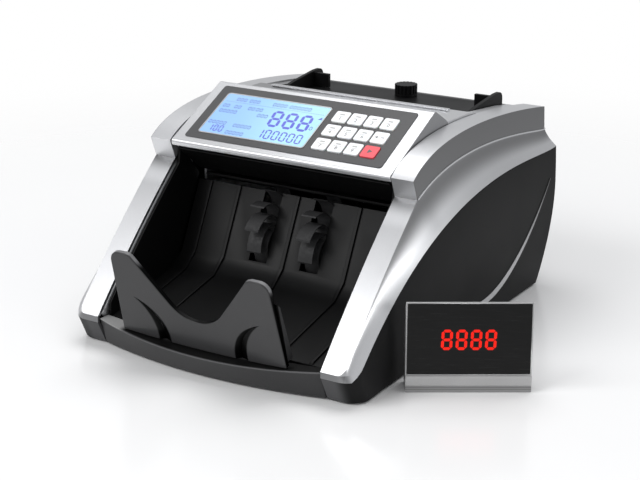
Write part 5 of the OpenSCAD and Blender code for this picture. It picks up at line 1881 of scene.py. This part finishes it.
def area_light(name, place, target, size, power):
    data = bpy.data.lights.new(name, "AREA")
    data.shape = "RECTANGLE"
    data.size, data.size_y = size
    data.energy = power
    return aimed(name, data, place, target)


def floor_surface(name):
    """Pale glossy floor that fades into the white room away from the machine."""
    s = new_shader(name)
    cloud = s.noise(3.0, 3.0)
    fine = s.noise(300.0, 3.0)
    away = s.node("ShaderNodeVectorMath", {"operation": "LENGTH"}, {0: s.place()}, 1)
    return s.finish(
        Base_Color=s.mix(s.drift(cloud), (0.88, 0.88, 0.885), (0.9, 0.9, 0.9)),
        Roughness=s.drift(fine, 0.17, 0.21), Specular_IOR_Level=1.0,
        Alpha=s.between(away, 0.22, 0.85, 1.0, 0.0))


def build_world():
    """Even room light, with plain white wherever the camera looks past the machine."""
    world = bpy.data.worlds.new("white_room")
    s = Shader(world)
    seen = s.node("ShaderNodeLightPath", output="Is Camera Ray")
    clear = s.node("ShaderNodeLightPath", output="Is Transmission Ray")
    room = s.node("ShaderNodeBackground", None, {"Color": (0.97, 0.98, 1.0, 1), "Strength": 0.5})
    white = s.node("ShaderNodeBackground", None, {"Color": (1, 1, 1, 1), "Strength": 1.0})
    factor = seen.maths("MAXIMUM", seen, clear)
    mixed = s.node("ShaderNodeMixShader", None, {0: factor, 1: room, 2: white})
    s.node("ShaderNodeOutputWorld", None, {0: mixed})
    return world


def build_stage():
    scene = bpy.context.scene
    scene.view_settings.view_transform = "Standard"
    scene.world = build_world()
    ends = (-FLOOR_HALF, FLOOR_HALF)
    floor = grid_object("floor", [[(x, y, -FLOOR_SUNK) for x in ends] for y in ends],
                        made("floor_surface", floor_surface))
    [area_light(*light) for light in LIGHTS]
    data = bpy.data.cameras.new("camera")
    data.lens = CAMERA_LENS
    data.sensor_width = CAMERA_SENSOR
    scene.camera = aimed("camera", data, CAMERA_PLACE, CAMERA_TARGET)


# ---------------------------------------------------------------- add-on


class COUNTER_OT_sides(bpy.types.Operator):
    """Build the silver side frames, the black side panels, the stripes and the fascia"""
    bl_idname = "counter.sides"
    bl_label = "Sides and fascia"

    def execute(self, context):
        build_sides()
        return {"FINISHED"}


class COUNTER_OT_console(bpy.types.Operator):
    """Build the console with its film, display and keys"""
    bl_idname = "counter.console"
    bl_label = "Console and keys"

    def execute(self, context):
        build_console()
        return {"FINISHED"}


class COUNTER_OT_gate(bpy.types.Operator):
    """Build the stacker gate"""
    bl_idname = "counter.gate"
    bl_label = "Stacker gate"

    def execute(self, context):
        build_gate()
        return {"FINISHED"}


class COUNTER_OT_customer_display(bpy.types.Operator):
    """Build the separate customer display"""
    bl_idname = "counter.customer_display"
    bl_label = "Customer display"

    def execute(self, context):
        build_customer_display()
        return {"FINISHED"}


class COUNTER_OT_carried(bpy.types.Operator):
    """Finish the pocket, the hopper, the back and the drive"""
    bl_idname = "counter.carried"
    bl_label = "Pocket, back and drive"

    def execute(self, context):
        build_carried()
        return {"FINISHED"}


class COUNTER_OT_stage(bpy.types.Operator):
    """Set the floor, the lights and the camera"""
    bl_idname = "counter.stage"
    bl_label = "Stage"

    def execute(self, context):
        build_stage()
        return {"FINISHED"}


class COUNTER_PT_panel(bpy.types.Panel):
    """Sizes, colours and the build steps"""
    bl_label = "Counter"
    bl_idname = "COUNTER_PT_panel"
    bl_space_type = "VIEW_3D"
    bl_region_type = "UI"
    bl_category = "Counter"

    def draw(self, context):
        for group in (context.scene.counter_sizes, context.scene.counter_colours):
            box = self.layout.box()
            for name in group.__annotations__:
                box.prop(group, name)
        for step in STEPS:
            self.layout.operator(step.bl_idname)


STEPS = (COUNTER_OT_sides, COUNTER_OT_console, COUNTER_OT_gate, COUNTER_OT_customer_display,
         COUNTER_OT_carried, COUNTER_OT_stage)
CLASSES = (CounterSizes, CounterColours, *STEPS, COUNTER_PT_panel)


def register():
    for kind in CLASSES:
        bpy.utils.register_class(kind)
    bpy.types.Scene.counter_sizes = PointerProperty(type=CounterSizes)
    bpy.types.Scene.counter_colours = PointerProperty(type=CounterColours)


def unregister():
    del bpy.types.Scene.counter_colours
    del bpy.types.Scene.counter_sizes
    for kind in reversed(CLASSES):
        bpy.utils.unregister_class(kind)


def main():
    register()
    bpy.ops.counter.sides()
    bpy.ops.counter.console()
    bpy.ops.counter.gate()
    bpy.ops.counter.customer_display()
    bpy.ops.counter.carried()
    bpy.ops.counter.stage()


if __name__ == "__main__":
    main()
